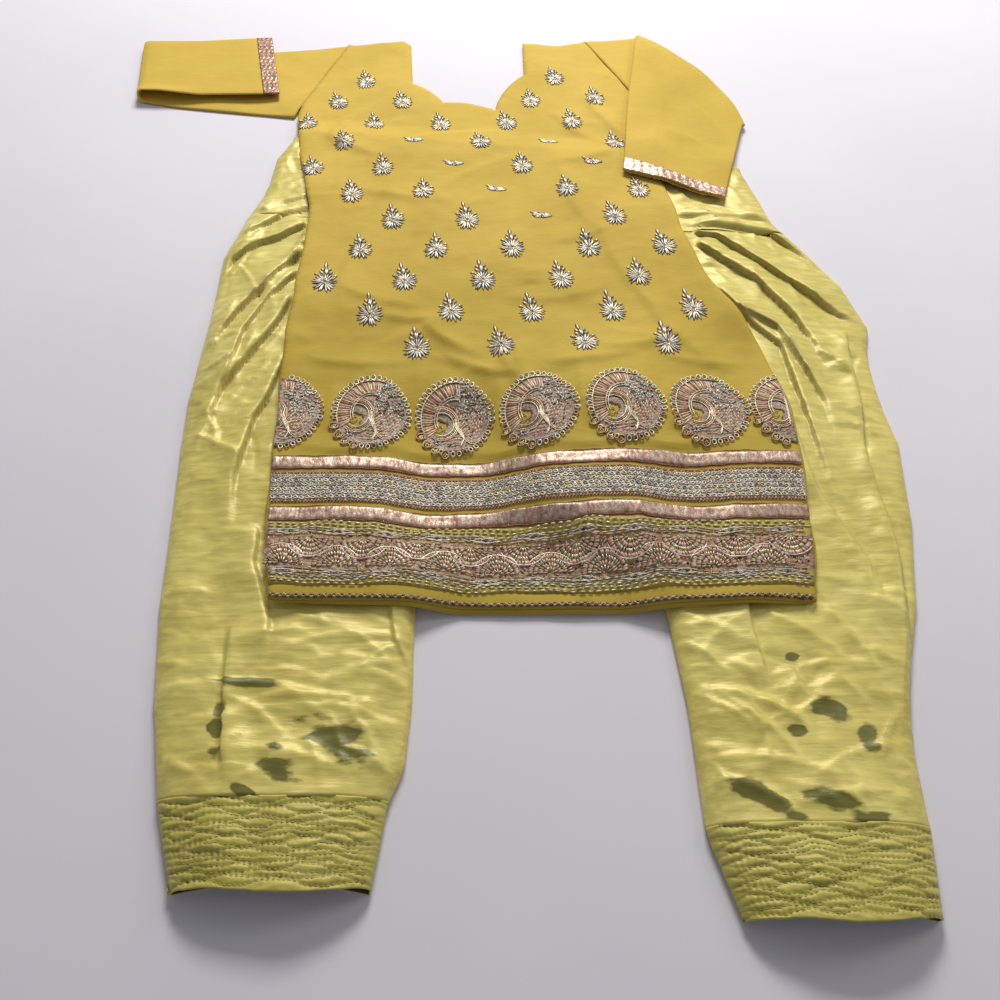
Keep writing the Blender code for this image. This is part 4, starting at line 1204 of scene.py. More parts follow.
# Each row is a cross-section: top x and y, under x and y, bow, share climbed over the fold, turn
LEFT_SLEEVE = (
    (-0.1726, 0.6412, -0.2348, 0.4425, 0.0, 0.0, 0),
    (-0.286, 0.627, -0.349, 0.46, 0.0, 0.0, 0),
    (-0.4, 0.633, -0.42, 0.472, 0.0, 0.0, 0),
    (-0.49, 0.643, -0.466, 0.484, 0.0, 0.0, 0),
    (-0.4975, 0.6433, -0.473, 0.485, 0.0, 0.15, 45),
    (-0.499, 0.6438, -0.475, 0.487, 0.0, 0.5, 90),
    (-0.4975, 0.6442, -0.4735, 0.489, 0.0, 0.85, 135),
    (-0.49, 0.6445, -0.468, 0.49, 0.0, 1.0, 180),
    (-0.41, 0.644, -0.39, 0.486, 0.0, 1.0, 180),
    (-0.32, 0.653, -0.285, 0.488, 0.0, 1.0, 180),
    (-0.296, 0.654, -0.261, 0.489, 0.0, 1.0, 180),
)
RIGHT_SLEEVE = (
    (0.2056, 0.6558, 0.2842, 0.4705, 0.0, 0.0, 0),
    (0.235, 0.66, 0.35, 0.448, 0.012, 0.0, 0),
    (0.286, 0.669, 0.418, 0.419, 0.022, 0.0, 0),
    (0.2915, 0.6705, 0.4265, 0.4185, 0.026, 0.15, 45),
    (0.2925, 0.6708, 0.4285, 0.4175, 0.027, 0.5, 90),
    (0.2915, 0.67, 0.4275, 0.416, 0.026, 0.85, 135),
    (0.288, 0.66, 0.423, 0.412, 0.024, 1.0, 180),
    (0.28, 0.605, 0.418, 0.396, 0.02, 1.0, 180),
    (0.271, 0.545, 0.411, 0.372, 0.016, 1.0, 180),
    (0.262, 0.485, 0.403, 0.344, 0.012, 1.0, 180),
    (0.255, 0.426, 0.395, 0.316, 0.007, 1.0, 180),
    (0.249, 0.372, 0.386, 0.285, 0.003, 1.0, 180),
    (0.2415, 0.312, 0.376, 0.25, 0.0, 1.0, 180),
    (0.238, 0.286, 0.37, 0.227, 0.0, 1.0, 180),
)
SLEEVE_SPANS = 46
SLEEVE_STEP = 0.0056
SLEEVE_HALF = 0.0021
SLEEVE_LOW = 0.0024
SLEEVE_WALL = 0.0010


def run_through(sections, first, last, step):
    """Section values at even steps along the sleeve's middle, with the corners eased."""
    table = np.array([list(row) for row in sections], float)
    middle = 0.5 * (table[:, :2] + table[:, 2:4])
    gaps = np.hypot(*np.diff(middle, axis=0).T) + 0.004
    along = np.concatenate([[0.0], np.cumsum(gaps)])
    begin, end = along[first], along[last]
    places = np.linspace(begin, end, max(3, round((end - begin) / step)) + 1)
    fold_at = np.linspace(along[3] - 0.004, along[7] + 0.004, 26)
    places = np.union1d(places, fold_at[(fold_at > begin) & (fold_at < end)])
    return [[float(np.interp(place, along, table[:, k])) for k in range(7)] for place in places]


def sleeve_tube(name, rows, side, upper_middle, half, ripple, finish, thickness, spans=SLEEVE_SPANS):
    """A flattened tube through the rows, its layers puffed apart between the side folds."""
    shares = crowded_ends(spans + 1, 0.3)
    points = []
    for top_x, top_y, under_x, under_y, bow, climb, turn in rows:
        dx, dy = under_x - top_x, under_y - top_y
        width = math.hypot(dx, dy)
        out_x, out_y = -side * dy / width, side * dx / width
        angle = math.radians(turn)
        for way, run in ((-1, shares), (1, shares[::-1])):
            puff = np.maximum(1 - (2 * run - 1) ** 6, 0.0) ** 0.5
            bend = bow * 4 * run * (1 - run)
            x = top_x + run * dx + bend * out_x
            y = top_y + run * dy + bend * out_y
            from_armhole = distance_to(SHOULDER_LEFT[-2:] if side < 0 else SHOULDER_RIGHT[:2], x, y)
            near_armhole = 0.0020 * np.exp(-((from_armhole / 0.030) ** 2))
            middle = (1 - climb) * (SLEEVE_LOW + near_armhole) + climb * upper_middle(x, y)
            thick = half * (0.30 + 0.70 * puff) + ripple(x, y, climb, way) * puff
            lean = -way * thick * math.sin(angle)
            rise = way * thick * math.cos(angle)
            points += list(np.stack([x + lean * out_x, y + lean * out_y, middle + rise], axis=1))
    faces = tube_faces(len(rows), 2 * (spans + 1))
    if side < 0:
        faces = [face[::-1] for face in faces]
    return cloth(name, points, faces, finish, thickness)


on_kameez = in_outline(panel_edge, field_x, field_y) | (
    (field_y > 0.44) & (field_x > -0.2) & (field_x < 0.284)
)
over = np.where(on_kameez, front_field, salwar_field)
over = np.maximum(over, SLEEVE_LOW + SLEEVE_HALF)
bed = drape(over, 0.020) + 0.0020 + SLEEVE_HALF

LEFT_UPPER = SLEEVE_LOW + 2 * SLEEVE_HALF + 0.0052
LEFT_SLEEVE_FOLDS = (
    (-0.42, 0.56, 0.3, 0.07, 0.01, 0.002),
    (-0.38, 0.52, -0.1, 0.08, 0.008, 0.0024),
    (-0.46, 0.6, 1.0, 0.05, 0.01, 0.0016),
    (-0.33, 0.59, 0.5, 0.06, 0.01, 0.0018),
    (-0.26, 0.56, -0.5, 0.07, 0.01, 0.0022),
    (-0.23, 0.5, 0.8, 0.06, 0.008, 0.0026),
)
RIGHT_SLEEVE_FOLDS = (
    (0.33, 0.6, -1.1, 0.09, 0.012, 0.0022),
    (0.36, 0.5, -1.35, 0.08, 0.01, 0.0026),
    (0.31, 0.45, -1.7, 0.08, 0.012, 0.0022),
    (0.34, 0.38, -0.6, 0.06, 0.008, 0.0024),
    (0.38, 0.42, -1.2, 0.06, 0.008, 0.0024),
    (0.29, 0.38, 1.3, 0.05, 0.009, 0.0018),
)


def left_middle(x, y):
    """The folded-back run lifts a little along its lower edge, away from the tube beneath."""
    gape = np.clip((-0.36 - x) / 0.08, 0.25, 1.0)
    return LEFT_UPPER + 0.0080 * gape * np.exp(-(((y - 0.487) / 0.018) ** 2))


def right_middle(x, y):
    return read_field(bed, x, y)


def left_ripple(x, y, climb, way):
    fall = crinkled(LEFT_SLEEVE_FOLDS, x, y) * (0.6 if climb > 0.5 else 0.35)
    return (fall + 0.0007 * np.sin(x * 60 + y * 35)) * (0.6 + 0.4 * way)


def right_ripple(x, y, climb, way):
    fall = crinkled(RIGHT_SLEEVE_FOLDS, x, y) * (0.8 if climb > 0.5 else 0.3)
    return (fall + 0.0006 * np.sin(x * 45 - y * 50)) * (0.6 - 0.4 * way)


left_rows = run_through(LEFT_SLEEVE, 0, 10, SLEEVE_STEP)
sleeve_left = sleeve_tube(
    "sleeve_left_cloth", left_rows, -1, left_middle, SLEEVE_HALF, left_ripple, kameez_silk, SLEEVE_WALL
)
right_rows = run_through(RIGHT_SLEEVE, 0, 13, SLEEVE_STEP)
sleeve_right = sleeve_tube(
    "sleeve_right_cloth", right_rows, 1, right_middle, SLEEVE_HALF, right_ripple, kameez_silk, SLEEVE_WALL
)
for sleeve, node in ((sleeve_left, "sleeve_left"), (sleeve_right, "sleeve_right")):
    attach(sleeve, "root")
    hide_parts(node)

# ---- Sleeve trims ----
# A ribbon of crinkled metallic foil, pale pink and silver, sewn round the open end of each sleeve.


def foil_finish(name, dark, middle, pale, glint):
    """Crinkled metallic ribbon in four tones: its own middle and pale tones, painted shade in its creases
    and painted glints on its crests.
    """
    material, tree, shader = new_finish(name)
    crinkle = grain(tree, 240.0, (1.0, 0.45, 1.0), detail=5.0)
    flecks = grain(tree, 900.0, detail=3.0)
    # Painted shade and painted glints: the noise that crinkles the bump also darkens the creases and
    # lightens the crests.
    base = stepped(tree, crinkle, ((0.30, dark), (0.46, middle), (0.60, pale), (0.72, glint)))
    dots = stepped(tree, flecks, ((0.36, (0.62, 0.60, 0.60)), (0.60, (1.08, 1.06, 1.05))))
    tree.links.new(blended(tree, 1.0, base, dots, "MULTIPLY"), shader.inputs["Base Color"])
    shader.inputs["Metallic"].default_value = 0.35
    shader.inputs["Roughness"].default_value = 0.38
    bumped(tree, shader, (crinkle, 0.7, 0.0012), (flecks, 0.4, 0.0003))
    return material


foil = foil_finish(
    "metallic_ribbon", (0.34, 0.20, 0.12), (0.54, 0.36, 0.26), (0.66, 0.51, 0.39), (0.82, 0.73, 0.58)
)
# Painted shade: a darker copy of the same foil for the left sleeve's trim.
shaded_left_foil = foil_finish(
    "shaded_left_ribbon", (0.22, 0.11, 0.06), (0.36, 0.21, 0.13), (0.46, 0.29, 0.19), (0.66, 0.50, 0.38)
)

TRIM_HALF = SLEEVE_HALF + 0.0008
TRIM_WALL = 0.0006
TRIM_SPANS = 90
TRIM_STEP = 0.0022
left_trim_rows = run_through(LEFT_SLEEVE, 9, 10, TRIM_STEP)
right_trim_rows = run_through(RIGHT_SLEEVE, 12, 13, TRIM_STEP)


def left_trim_ripple(x, y, climb, way):
    crinkle = 0.00045 * np.sin(x * 900 + 5 * np.sin(y * 210))
    return left_ripple(x, y, climb, way) + crinkle + 0.0003 * np.sin(y * 640)


def right_trim_ripple(x, y, climb, way):
    crinkle = 0.0006 * np.sin(x * 620 + 4 * np.sin(y * 320))
    return right_ripple(x, y, climb, way) + crinkle + 0.0003 * np.sin(y * 900)


trim_left = sleeve_tube(
    "sleeve_left_trim_foil", left_trim_rows, -1, left_middle,
    TRIM_HALF, left_trim_ripple, shaded_left_foil, TRIM_WALL, TRIM_SPANS,
)
trim_right = sleeve_tube(
    "sleeve_right_trim_foil", right_trim_rows, 1, right_middle,
    TRIM_HALF, right_trim_ripple, foil, TRIM_WALL, TRIM_SPANS,
)
for trim, node in ((trim_left, "sleeve_left_trim"), (trim_right, "sleeve_right_trim")):
    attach(trim, "root")
    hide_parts(node)

# ---- Ribbons across the front ----
# Two woven metallic ribbons sewn flat across the tunic's front above and below the beaded band,
# each with a thin rust-red cord couched along its lower edge.

BAND_INSET = 0.002


def front_sides(y):
    """Where the tunic's front begins and ends at a height."""
    left, right = panel_sides(y)
    return left + BAND_INSET, right - BAND_INSET


def front_ends(level):
    """The same two places as plain numbers, for one height."""
    left, right = front_sides(level)
    return float(left), float(right)


def strip_across(name, y_low, y_high, step, relief, finish):
    """A strip of cloth across the front, with its own relief on the tunic's surface."""
    columns = round(0.54 / step)
    rows = max(3, round((y_high - y_low) / step)) + 1
    v = np.linspace(0.0, 1.0, rows)[:, None]
    u = np.linspace(0.0, 1.0, columns)[None, :]
    wander = 0.0006 * np.sin(u * 23.0 + y_low * 90) + 0.0004 * np.sin(u * 61.0)
    y = y_low + (y_high - y_low) * v + wander
    left, right = front_sides(y)
    x = left + (right - left) * u
    z = front_height(x, y) + BAND_LIFT + relief(x, y, v + 0.0 * u)
    faces = []
    for j in range(rows - 1):
        for i in range(columns - 1):
            a = j * columns + i
            faces.append((a, a + 1, a + columns + 1, a + columns))
    loop = list(range(columns)) + [j * columns + columns - 1 for j in range(1, rows)]
    loop += [(rows - 1) * columns + i for i in reversed(range(columns - 1))]
    loop += [j * columns for j in reversed(range(1, rows - 1))]
    rim = list(zip(loop, loop[1:] + loop[:1]))
    plan = np.stack([x, y], axis=2).reshape(-1, 2)
    return laid_cloth(name, plan, faces, rim, z.ravel(), STRIP_WALL, finish)


def foil_relief(x, y, v):
    """Small crosswise crinkles, and a rounded edge along both sides."""
    edge = np.minimum(v, 1 - v)
    ripple = 0.00022 * rolling(x, y, 0.0045, 1.1, 2) + 0.0002 * np.sin(x * 410 + 3 * np.sin(x * 77))
    return 0.0009 * held(edge / 0.16) ** 0.5 + ripple * held(edge / 0.1)


Work = namedtuple("Work", "points faces kinds")


def new_work():
    return Work([], [], [])


def add_mesh(work, kind, points, faces):
    base = len(work.points)
    work.points.extend(points)
    work.faces.extend([tuple(k + base for k in face) for face in faces])
    work.kinds.extend([kind] * len(faces))


def add_petal(work, kind, x, y, turn, length, width, rise, low=0.0, rows=5):
    """A lens of laid thread: pointed at both ends, raised along its middle."""
    cos, sin = math.cos(turn), math.sin(turn)
    points = [(x, y, low)]
    for k in range(1, rows):
        share = k / rows
        half = 0.5 * width * math.sin(math.pi * share) ** 0.8
        crest = math.sin(math.pi * share) ** 0.5
        for across_share, height in ((-1.0, 0.0), (0.0, crest), (1.0, 0.0)):
            u, v = share * length, half * across_share
            points.append((x + u * cos - v * sin, y + u * sin + v * cos, low + rise * height))
    last = len(points)
    points.append((x + length * cos, y + length * sin, low))
    faces = [(0, 2, 1), (0, 3, 2), (0, 1, 3)]
    for k in range(rows - 2):
        a, b = 1 + 3 * k, 4 + 3 * k
        faces += [(a, a + 1, b + 1, b), (a + 1, a + 2, b + 2, b + 1), (a + 2, a, b, b + 2)]
    a = last - 3
    faces += [(a, a + 1, last), (a + 1, a + 2, last), (a + 2, a, last)]
    add_mesh(work, kind, points, faces)


def add_run(work, kind, line, radius, low=0.0, sides=5, closed=False):
    """Round thread along a run of plan points, lying on the cloth."""
    count = len(line)
    points = []
    for k in range(count):
        a = line[(k - 1) % count] if closed or k > 0 else line[k]
        b = line[(k + 1) % count] if closed or k < count - 1 else line[k]
        dx, dy = b[0] - a[0], b[1] - a[1]
        size = math.hypot(dx, dy) or 1.0
        thin = 1.0 if closed or 0 < k < count - 1 else 0.4
        for n in range(sides):
            turn = math.tau * (n + 0.5) / sides
            off, up = radius * thin * math.cos(turn), radius * thin * math.sin(turn)
            points.append((line[k][0] - off * dy / size, line[k][1] + off * dx / size, low + radius + up))
    faces = [tuple(n % len(points) for n in face) for face in tube_faces(count + closed, sides)]
    if not closed:
        faces.append(tuple(range(sides)))
        faces.append(tuple((count - 1) * sides + n for n in reversed(range(sides))))
    add_mesh(work, kind, points, faces)


def add_ring(work, kind, x, y, reach, radius, low=0.0, sides=4, squeeze=1.0, turn=0.0, parts=11):
    """A small loop of thread."""
    line = []
    cos, sin = math.cos(turn), math.sin(turn)
    for k in range(parts):
        angle = math.tau * k / parts
        u, v = reach * math.cos(angle), reach * squeeze * math.sin(angle)
        line.append((x + u * cos - v * sin, y + u * sin + v * cos))
    add_run(work, kind, line, radius, low, sides, closed=True)


def add_bead(work, kind, x, y, radius, low=0.0):
    """A bead or knot: a low dome with eight sides."""
    points = []
    for reach, rise in ((radius, 0.0), (0.7 * radius, 0.7 * radius)):
        for k in range(8):
            turn = k * math.pi / 4
            points.append((x + reach * math.cos(turn), y + reach * math.sin(turn), low + rise))
    points.append((x, y, low + radius))
    faces = [(k, (k + 1) % 8, 8 + (k + 1) % 8, 8 + k) for k in range(8)]
    faces += [(8 + k, 8 + (k + 1) % 8, 16) for k in range(8)]
    faces.append(tuple(reversed(range(8))))
    add_mesh(work, kind, points, faces)


def embroidered(name, work, finishes, lift):
    """Turns thread work into a piece that lies on the front of the tunic."""
    points = np.array(work.points)
    points[:, 2] += front_height(points[:, 0], points[:, 1]) + lift
    item = cloth(name, points, work.faces, finishes[0])
    for finish in finishes[1:]:
        item.data.materials.append(finish)
    item.data.polygons.foreach_set("material_index", work.kinds)
    return item


def thread_finish(name, deep, light, metallic, roughness, scale=700.0):
    """Embroidery thread: twisted strands whose tone changes from stitch to stitch."""
    material, tree, shader = new_finish(name)
    tone = grain(tree, scale * 0.35, detail=4.0)
    strand = grain(tree, scale * 3.0, (1.0, 0.4, 1.0), detail=2.0)
    tree.links.new(stepped(tree, tone, ((0.34, deep), (0.62, light))), shader.inputs["Base Color"])
    shader.inputs["Metallic"].default_value = metallic
    shader.inputs["Roughness"].default_value = roughness
    bumped(tree, shader, (tone, 0.4, 0.0005), (strand, 0.5, 0.00025))
    return material


silver_thread = thread_finish("silver_thread", (0.50, 0.455, 0.36), (0.86, 0.82, 0.70), 0.28, 0.38)
grey_thread = thread_finish("grey_thread", (0.22, 0.20, 0.18), (0.52, 0.49, 0.44), 0.30, 0.42)
gold_thread = thread_finish("gold_thread", (0.50, 0.38, 0.16), (0.86, 0.74, 0.44), 0.35, 0.38)
pink_thread = thread_finish("pink_thread", (0.70, 0.40, 0.28), (1.0, 0.72, 0.57), 0.08, 0.50)
bronze_thread = thread_finish("bronze_thread", (0.28, 0.15, 0.06), (0.56, 0.36, 0.17), 0.25, 0.42)
dark_thread = thread_finish("dark_thread", (0.035, 0.03, 0.024), (0.12, 0.10, 0.08), 0.2, 0.55)
rust_thread = thread_finish("rust_thread", (0.16, 0.045, 0.02), (0.34, 0.12, 0.06), 0.1, 0.6)

BAND_LIFT = 0.0004
KNOT_LIFT = BAND_LIFT + 0.0005
STRIP_WALL = 0.0006
FOIL_STEP = 0.0021
GROUND_STEP = 0.0045
for name, y_low, y_high in (("ribbon_upper", -0.235, -0.219), ("ribbon_lower", -0.301, -0.285)):
    ribbon = strip_across(f"{name}_foil", y_low, y_high, FOIL_STEP, foil_relief, foil)
    edging = new_work()
    for level, kind, radius in ((y_low - 0.0008, 0, 0.00075), (y_high + 0.0004, 1, 0.0004)):
        places = np.linspace(*front_sides(level), 230)
        line = [(x, level + 0.0006 * math.sin(x * 43) + 0.0003 * math.sin(x * 310)) for x in places]
        add_run(edging, kind, line, radius)
    cord = embroidered(f"{name}_edging", edging, (rust_thread, bronze_thread), 0.0)
    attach(ribbon, "root")
    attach(cord, "root")
    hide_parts(name)

# ---- Beaded band ----
# A strip between the ribbons covered with six close rows of silver knots, edged above and below
# with a chain of rust and pink thread whose loops scallop the edge.

zari_ground, tree, shader = new_finish("zari_ground")
speckle = grain(tree, 520.0, detail=4.0)
base = stepped(tree, speckle, ((0.38, (0.30, 0.26, 0.17)), (0.62, (0.74, 0.66, 0.50))))
tree.links.new(base, shader.inputs["Base Color"])
shader.inputs["Metallic"].default_value = 0.3
shader.inputs["Roughness"].default_value = 0.55
bumped(tree, shader, (speckle, 0.8, 0.0008))

ZARI_LOW, ZARI_HIGH = -0.278, -0.242
ZARI_ROWS = 6
draw = random.Random(17)
knots = new_work()
for row in range(ZARI_ROWS):
    level = ZARI_LOW + 0.0046 + (ZARI_HIGH - ZARI_LOW - 0.0092) * row / (ZARI_ROWS - 1)
    left, right = front_ends(level)
    x = left + 0.001 + 0.0026 * (row % 2)
    while x < right - 0.004:
        lean = 0.45 if row % 2 else -0.45
        kind = draw.choices((0, 1, 2), (0.66, 0.18, 0.16))[0]
        py = level + draw.gauss(0, 0.00035)
        add_ring(knots, kind, x + 0.002, py, 0.0025, 0.00068, 0.0, 4, 0.62, lean + draw.gauss(0, 0.2), 9)
        add_petal(knots, 0, x + 0.0032, py - 0.0018, lean + 1.9, 0.0042, 0.0016, 0.0013, 0.0004, rows=3)
        x += 0.0060 + draw.gauss(0, 0.0002)
for level, way in ((ZARI_LOW + 0.0012, -1), (ZARI_HIGH - 0.0012, 1)):
    left, right = front_ends(level)
    for n, x in enumerate(np.arange(left + 0.0015, right - 0.002, 0.0034)):
        kind = (3, 4)[n % 2]
        add_petal(knots, kind, x, level - way * 0.0010, way * 0.9, 0.0042, 0.0019, 0.0009, rows=4)
        back = math.pi - way * 0.7
        add_petal(knots, 3, x + 0.0014, level + way * 0.0008, back, 0.0034, 0.0015, 0.0009, rows=4)
    for shift, kind in ((0.0020, 3), (-0.0018, 5)):
        line = [(x, level - way * shift + 0.0003 * math.sin(x * 230)) for x in np.linspace(left, right, 230)]
        add_run(knots, kind, line, 0.00042)


def ground_relief(x, y, v):
    edge = np.minimum(v, 1 - v)
    return 0.0006 * held(edge / 0.06) ** 0.5 + 0.0001 * np.sin(x * 700) * np.sin(y * 900)


zari_band = strip_across(
    "zari_band_ground", ZARI_LOW, ZARI_HIGH, GROUND_STEP, ground_relief, zari_ground
)
zari_knots = embroidered(
    "zari_band_knots",
    knots,
    (silver_thread, grey_thread, gold_thread, pink_thread, bronze_thread, rust_thread),
    KNOT_LIFT,
)
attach(zari_band, "root")
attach(zari_knots, "root")
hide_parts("zari_band")

# ---- Embroidered border ----
# The wide band at the foot: pink thread laid in waves with dark beads, between couched silver
# lines and rows of running stitch in yellow and cream.

border_ground, tree, shader = new_finish("border_ground")
speckle = grain(tree, 330.0, (0.5, 1.0, 1.0), detail=4.0)
strands = stepped(
    tree, speckle, ((0.36, (0.20, 0.11, 0.05)), (0.52, (0.40, 0.25, 0.13)), (0.68, (0.60, 0.42, 0.27)))
)
BORDER_MIDDLE = -0.3405
from_middle = worked_out(tree, "SUBTRACT", along_y(tree), BORDER_MIDDLE)
from_middle = worked_out(tree, "MULTIPLY", worked_out(tree, "ABSOLUTE", from_middle), 20.0)
silk_share = stepped(tree, from_middle, ((0.36, BLACK), (0.46, WHITE)))
silk_grain = grain(tree, 240.0, (0.1, 1.0, 1.0))
silk_tone = stepped(tree, silk_grain, ((0.3, (0.36, 0.28, 0.04)), (0.7, (0.50, 0.39, 0.06))))
tree.links.new(blended(tree, silk_share, strands, silk_tone), shader.inputs["Base Color"])
shader.inputs["Roughness"].default_value = 0.6
bumped(tree, shader, (speckle, 0.6, 0.0008))

BORDER_LOW, BORDER_HIGH = -0.377, -0.3035


def drift(x, seed):
    """How a stitched line wanders up and down as it crosses the front."""
    return 0.0014 * math.sin(x * 52 + seed) + 0.0008 * math.sin(x * 117 + 2.1 * seed)


def add_running_stitch(work, kinds, level, seed, length, gap, radius, drawn):
    """A row of separate stitches across the front."""
    left, right = front_ends(level)
    x = left + 0.001
    while x + length < right:
        size = length * drawn.uniform(0.8, 1.2)
        line = [(x + size * s, level + drift(x + size * s, seed)) for s in (0.0, 0.3, 0.7, 1.0)]
        add_run(work, drawn.choice(kinds), line, radius)
        x += size + gap * drawn.uniform(0.7, 1.3)


draw = random.Random(29)
border = new_work()
SILVER, GREY, GOLD, PINK, BRONZE, DARK, CREAM = range(7)
for level, seed, kinds in (
    (-0.3055, 0.3, (GOLD, CREAM)),
    (-0.3092, 0.8, (GOLD, CREAM)),
    (-0.3750, 2.9, (CREAM, CREAM, GOLD)),
    (-0.3714, 3.6, (CREAM, SILVER)),
    (-0.3682, 3.1, (GREY, CREAM)),
):
    add_running_stitch(border, kinds, level, seed, 0.0056, 0.0022, 0.00085, draw)
for level, seed, kinds in (
    (-0.3128, 1.2, (SILVER, CREAM)),
    (-0.3150, 1.5, (GREY, BRONZE)),
    (-0.3172, 1.8, (SILVER, GOLD)),
    (-0.3192, 1.4, (BRONZE, PINK)),
    (-0.3600, 2.2, (BRONZE, GREY)),
    (-0.3622, 2.6, (SILVER, CREAM)),
    (-0.3644, 2.3, (GREY, BRONZE)),
    (-0.3664, 2.8, (SILVER, GREY)),
):
    add_running_stitch(border, kinds, level, seed, 0.0075, 0.0005, 0.00070, draw)
left, right = front_ends(-0.34)
for x in np.arange(left + 0.001, right - 0.006, 0.0040):
    for level in np.arange(-0.3565, -0.3212, 0.0050):
        lean = 1.15 * math.sin(110 * x + 90 * level) + draw.gauss(0, 0.40)
        px, py = x + draw.gauss(0, 0.0010), level + draw.gauss(0, 0.0010) + drift(x, 2.0)
        kind = draw.choices((PINK, BRONZE, GOLD, CREAM, DARK), (0.40, 0.22, 0.10, 0.10, 0.18))[0]
        add_petal(border, kind, px, py, lean, draw.uniform(0.0045, 0.0070), 0.0016, 0.0010, rows=3)
WAVE = 0.058
FAN_STEP = 0.0262
FAN_RINGS = ((0.0022, CREAM), (0.0068, PINK), (0.0118, CREAM), (0.0166, PINK))
# The fans' petals are laid in two layers. Each fan of the second layer also gets an arc.
for layer in range(2):
    for k, x in enumerate(np.arange(left + 0.016, right - 0.012, FAN_STEP)):
        way = 1 if k % 2 == 0 else -1
        root_y = -0.3395 - way * 0.0155 + drift(x, 2.0)
        for reach, kind in FAN_RINGS:
            count = round(math.pi * (reach + 0.003) / 0.0027)
            for j in range(count):
                turn = way * math.pi * (j + 0.5) / count + draw.gauss(0, 0.04)
                px, py = x + reach * math.cos(turn), root_y + reach * math.sin(turn)
                if not left + 0.002 < px < right - 0.005:
                    continue
                size = 0.0056 + draw.gauss(0, 0.0004)
                size += 0.0008
                add_petal(border, kind, px, py, turn + 0.25, size, 0.0023, 0.0022, 0.0003, rows=4)
        if layer == 0:
            continue
        arc = []
        for t in np.linspace(0.35, 2.8, 22):
            arc.append((x + 0.0236 * math.cos(t), root_y + way * 0.0226 * math.sin(t)))
        arc = [point for point in arc if left + 0.001 < point[0] < right - 0.001]
        if len(arc) > 3:
            add_run(border, SILVER if k % 2 else CREAM, arc, 0.0008, 0.0006)
for x in np.arange(left + 0.006, right - 0.006, 0.0066):
    phase = math.tau * x / WAVE
    for way in (-1, 1):
        py = -0.3390 + way * (0.0075 + 0.0055 * math.sin(phase + way)) + draw.gauss(0, 0.001)
        kind = DARK if draw.random() < 0.7 else GREY
        add_bead(border, kind, x + draw.gauss(0, 0.001), py, 0.00125, 0.0005)
for x in np.arange(left + 0.020, right - 0.018, 0.0485):
    for level in (-0.3160, -0.3632):
        for way in (-1, 1):
            line = [
                (x + 0.014 * (s - 0.5) * 2, level + drift(x, 1.5) + way * 0.0026 * math.sin(math.pi * s))
                for s in np.linspace(0, 1, 9)
            ]
            add_run(border, SILVER, line, 0.00055, 0.0003)
        for shift in (-0.0042, 0.0, 0.0042):
            add_bead(border, DARK if shift == 0 else GREY, x + shift, level + drift(x, 1.5), 0.0015, 0.0003)

border_band = strip_across(
    "embroidered_border_ground", BORDER_LOW, BORDER_HIGH, GROUND_STEP, ground_relief, border_ground
)
cream_thread = thread_finish("cream_thread", (0.52, 0.46, 0.26), (0.88, 0.82, 0.58), 0.45, 0.36)
SEVEN_THREADS = (
    silver_thread, grey_thread, gold_thread, pink_thread, bronze_thread, dark_thread, cream_thread
)
border_threads = embroidered("embroidered_border_threads", border, SEVEN_THREADS, KNOT_LIFT)
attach(border_band, "root")
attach(border_threads, "root")
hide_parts("embroidered_border")

# ---- Hem braid ----
# A dark gold braid of two twisted cords sewn along the very edge of the front hem, with a beaded
# knot at its right end.

braid = new_work()
left, right = front_ends(-0.3895)
for strand in (0.0, math.pi):
    line = []
    for x in np.arange(left, right, 0.0011):
        turn = math.tau * x / 0.0072 + strand
        line.append((x, -0.3897 + 0.0012 * math.cos(turn) + 0.0004 * math.sin(x * 60)))
    add_run(braid, 0 if strand else 1, line, 0.00125, 0.0)
draw = random.Random(3)
for x in np.arange(left, right, 0.0041):
    add_petal(braid, 2, x, -0.3897 + draw.gauss(0, 0.0006), 0.8, 0.0030, 0.0010, 0.0006, 0.0022, rows=3)
for k in range(26):
    px, py = right - 0.020 + draw.uniform(0, 0.019), -0.3893 + draw.gauss(0, 0.0016)
    add_bead(braid, 1, px, py, 0.0013, 0.0008)
hem_braid = embroidered("hem_piping_braid", braid, (bronze_thread, dark_thread, gold_thread), 0.0)
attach(hem_braid, "root")
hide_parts("hem_piping")

# ---- Roundels ----
# Seven round patches of comma-shaped embroidery stand in a row above the ribbons. Each has a rim
# of small loops, a comb of pink ribs, silver florets, a bare crescent and a pink lower lobe.

ROUNDEL_X = (-0.166, -0.071, 0.020, 0.112, 0.206, 0.297, 0.384)
ROUNDEL_Y = -0.157
HALF_WIDE = 0.0415
HALF_HIGH = 0.0530

roundel_ground, tree, shader = new_finish("roundel_ground")
speckle = grain(tree, 430.0, detail=5.0)
patches = grain(tree, 60.0, detail=2.0)
fine = stepped(tree, speckle, ((0.38, (0.42, 0.40, 0.40)), (0.62, (1.15, 1.12, 1.08))))
broad = stepped(tree, patches, ((0.40, (0.34, 0.20, 0.13)), (0.60, (0.38, 0.32, 0.22))))
tree.links.new(blended(tree, 1.0, broad, fine, "MULTIPLY"), shader.inputs["Base Color"])
shader.inputs["Metallic"].default_value = 0.2
shader.inputs["Roughness"].default_value = 0.55
bumped(tree, shader, (speckle, 0.8, 0.0009))


def polar(reach, turn):
    """A place at a distance and a direction."""
    return reach * math.cos(turn), reach * math.sin(turn)


def roundel_reach(turn):
    """The outline's radius, in half widths: round, with a small swell at the right."""
    swell = 0.05 * math.exp(-(((turn + 0.1) / 0.35) ** 2))
    return 1.0 + swell - 0.05 * math.exp(-(((turn - 0.75) / 0.3) ** 2))


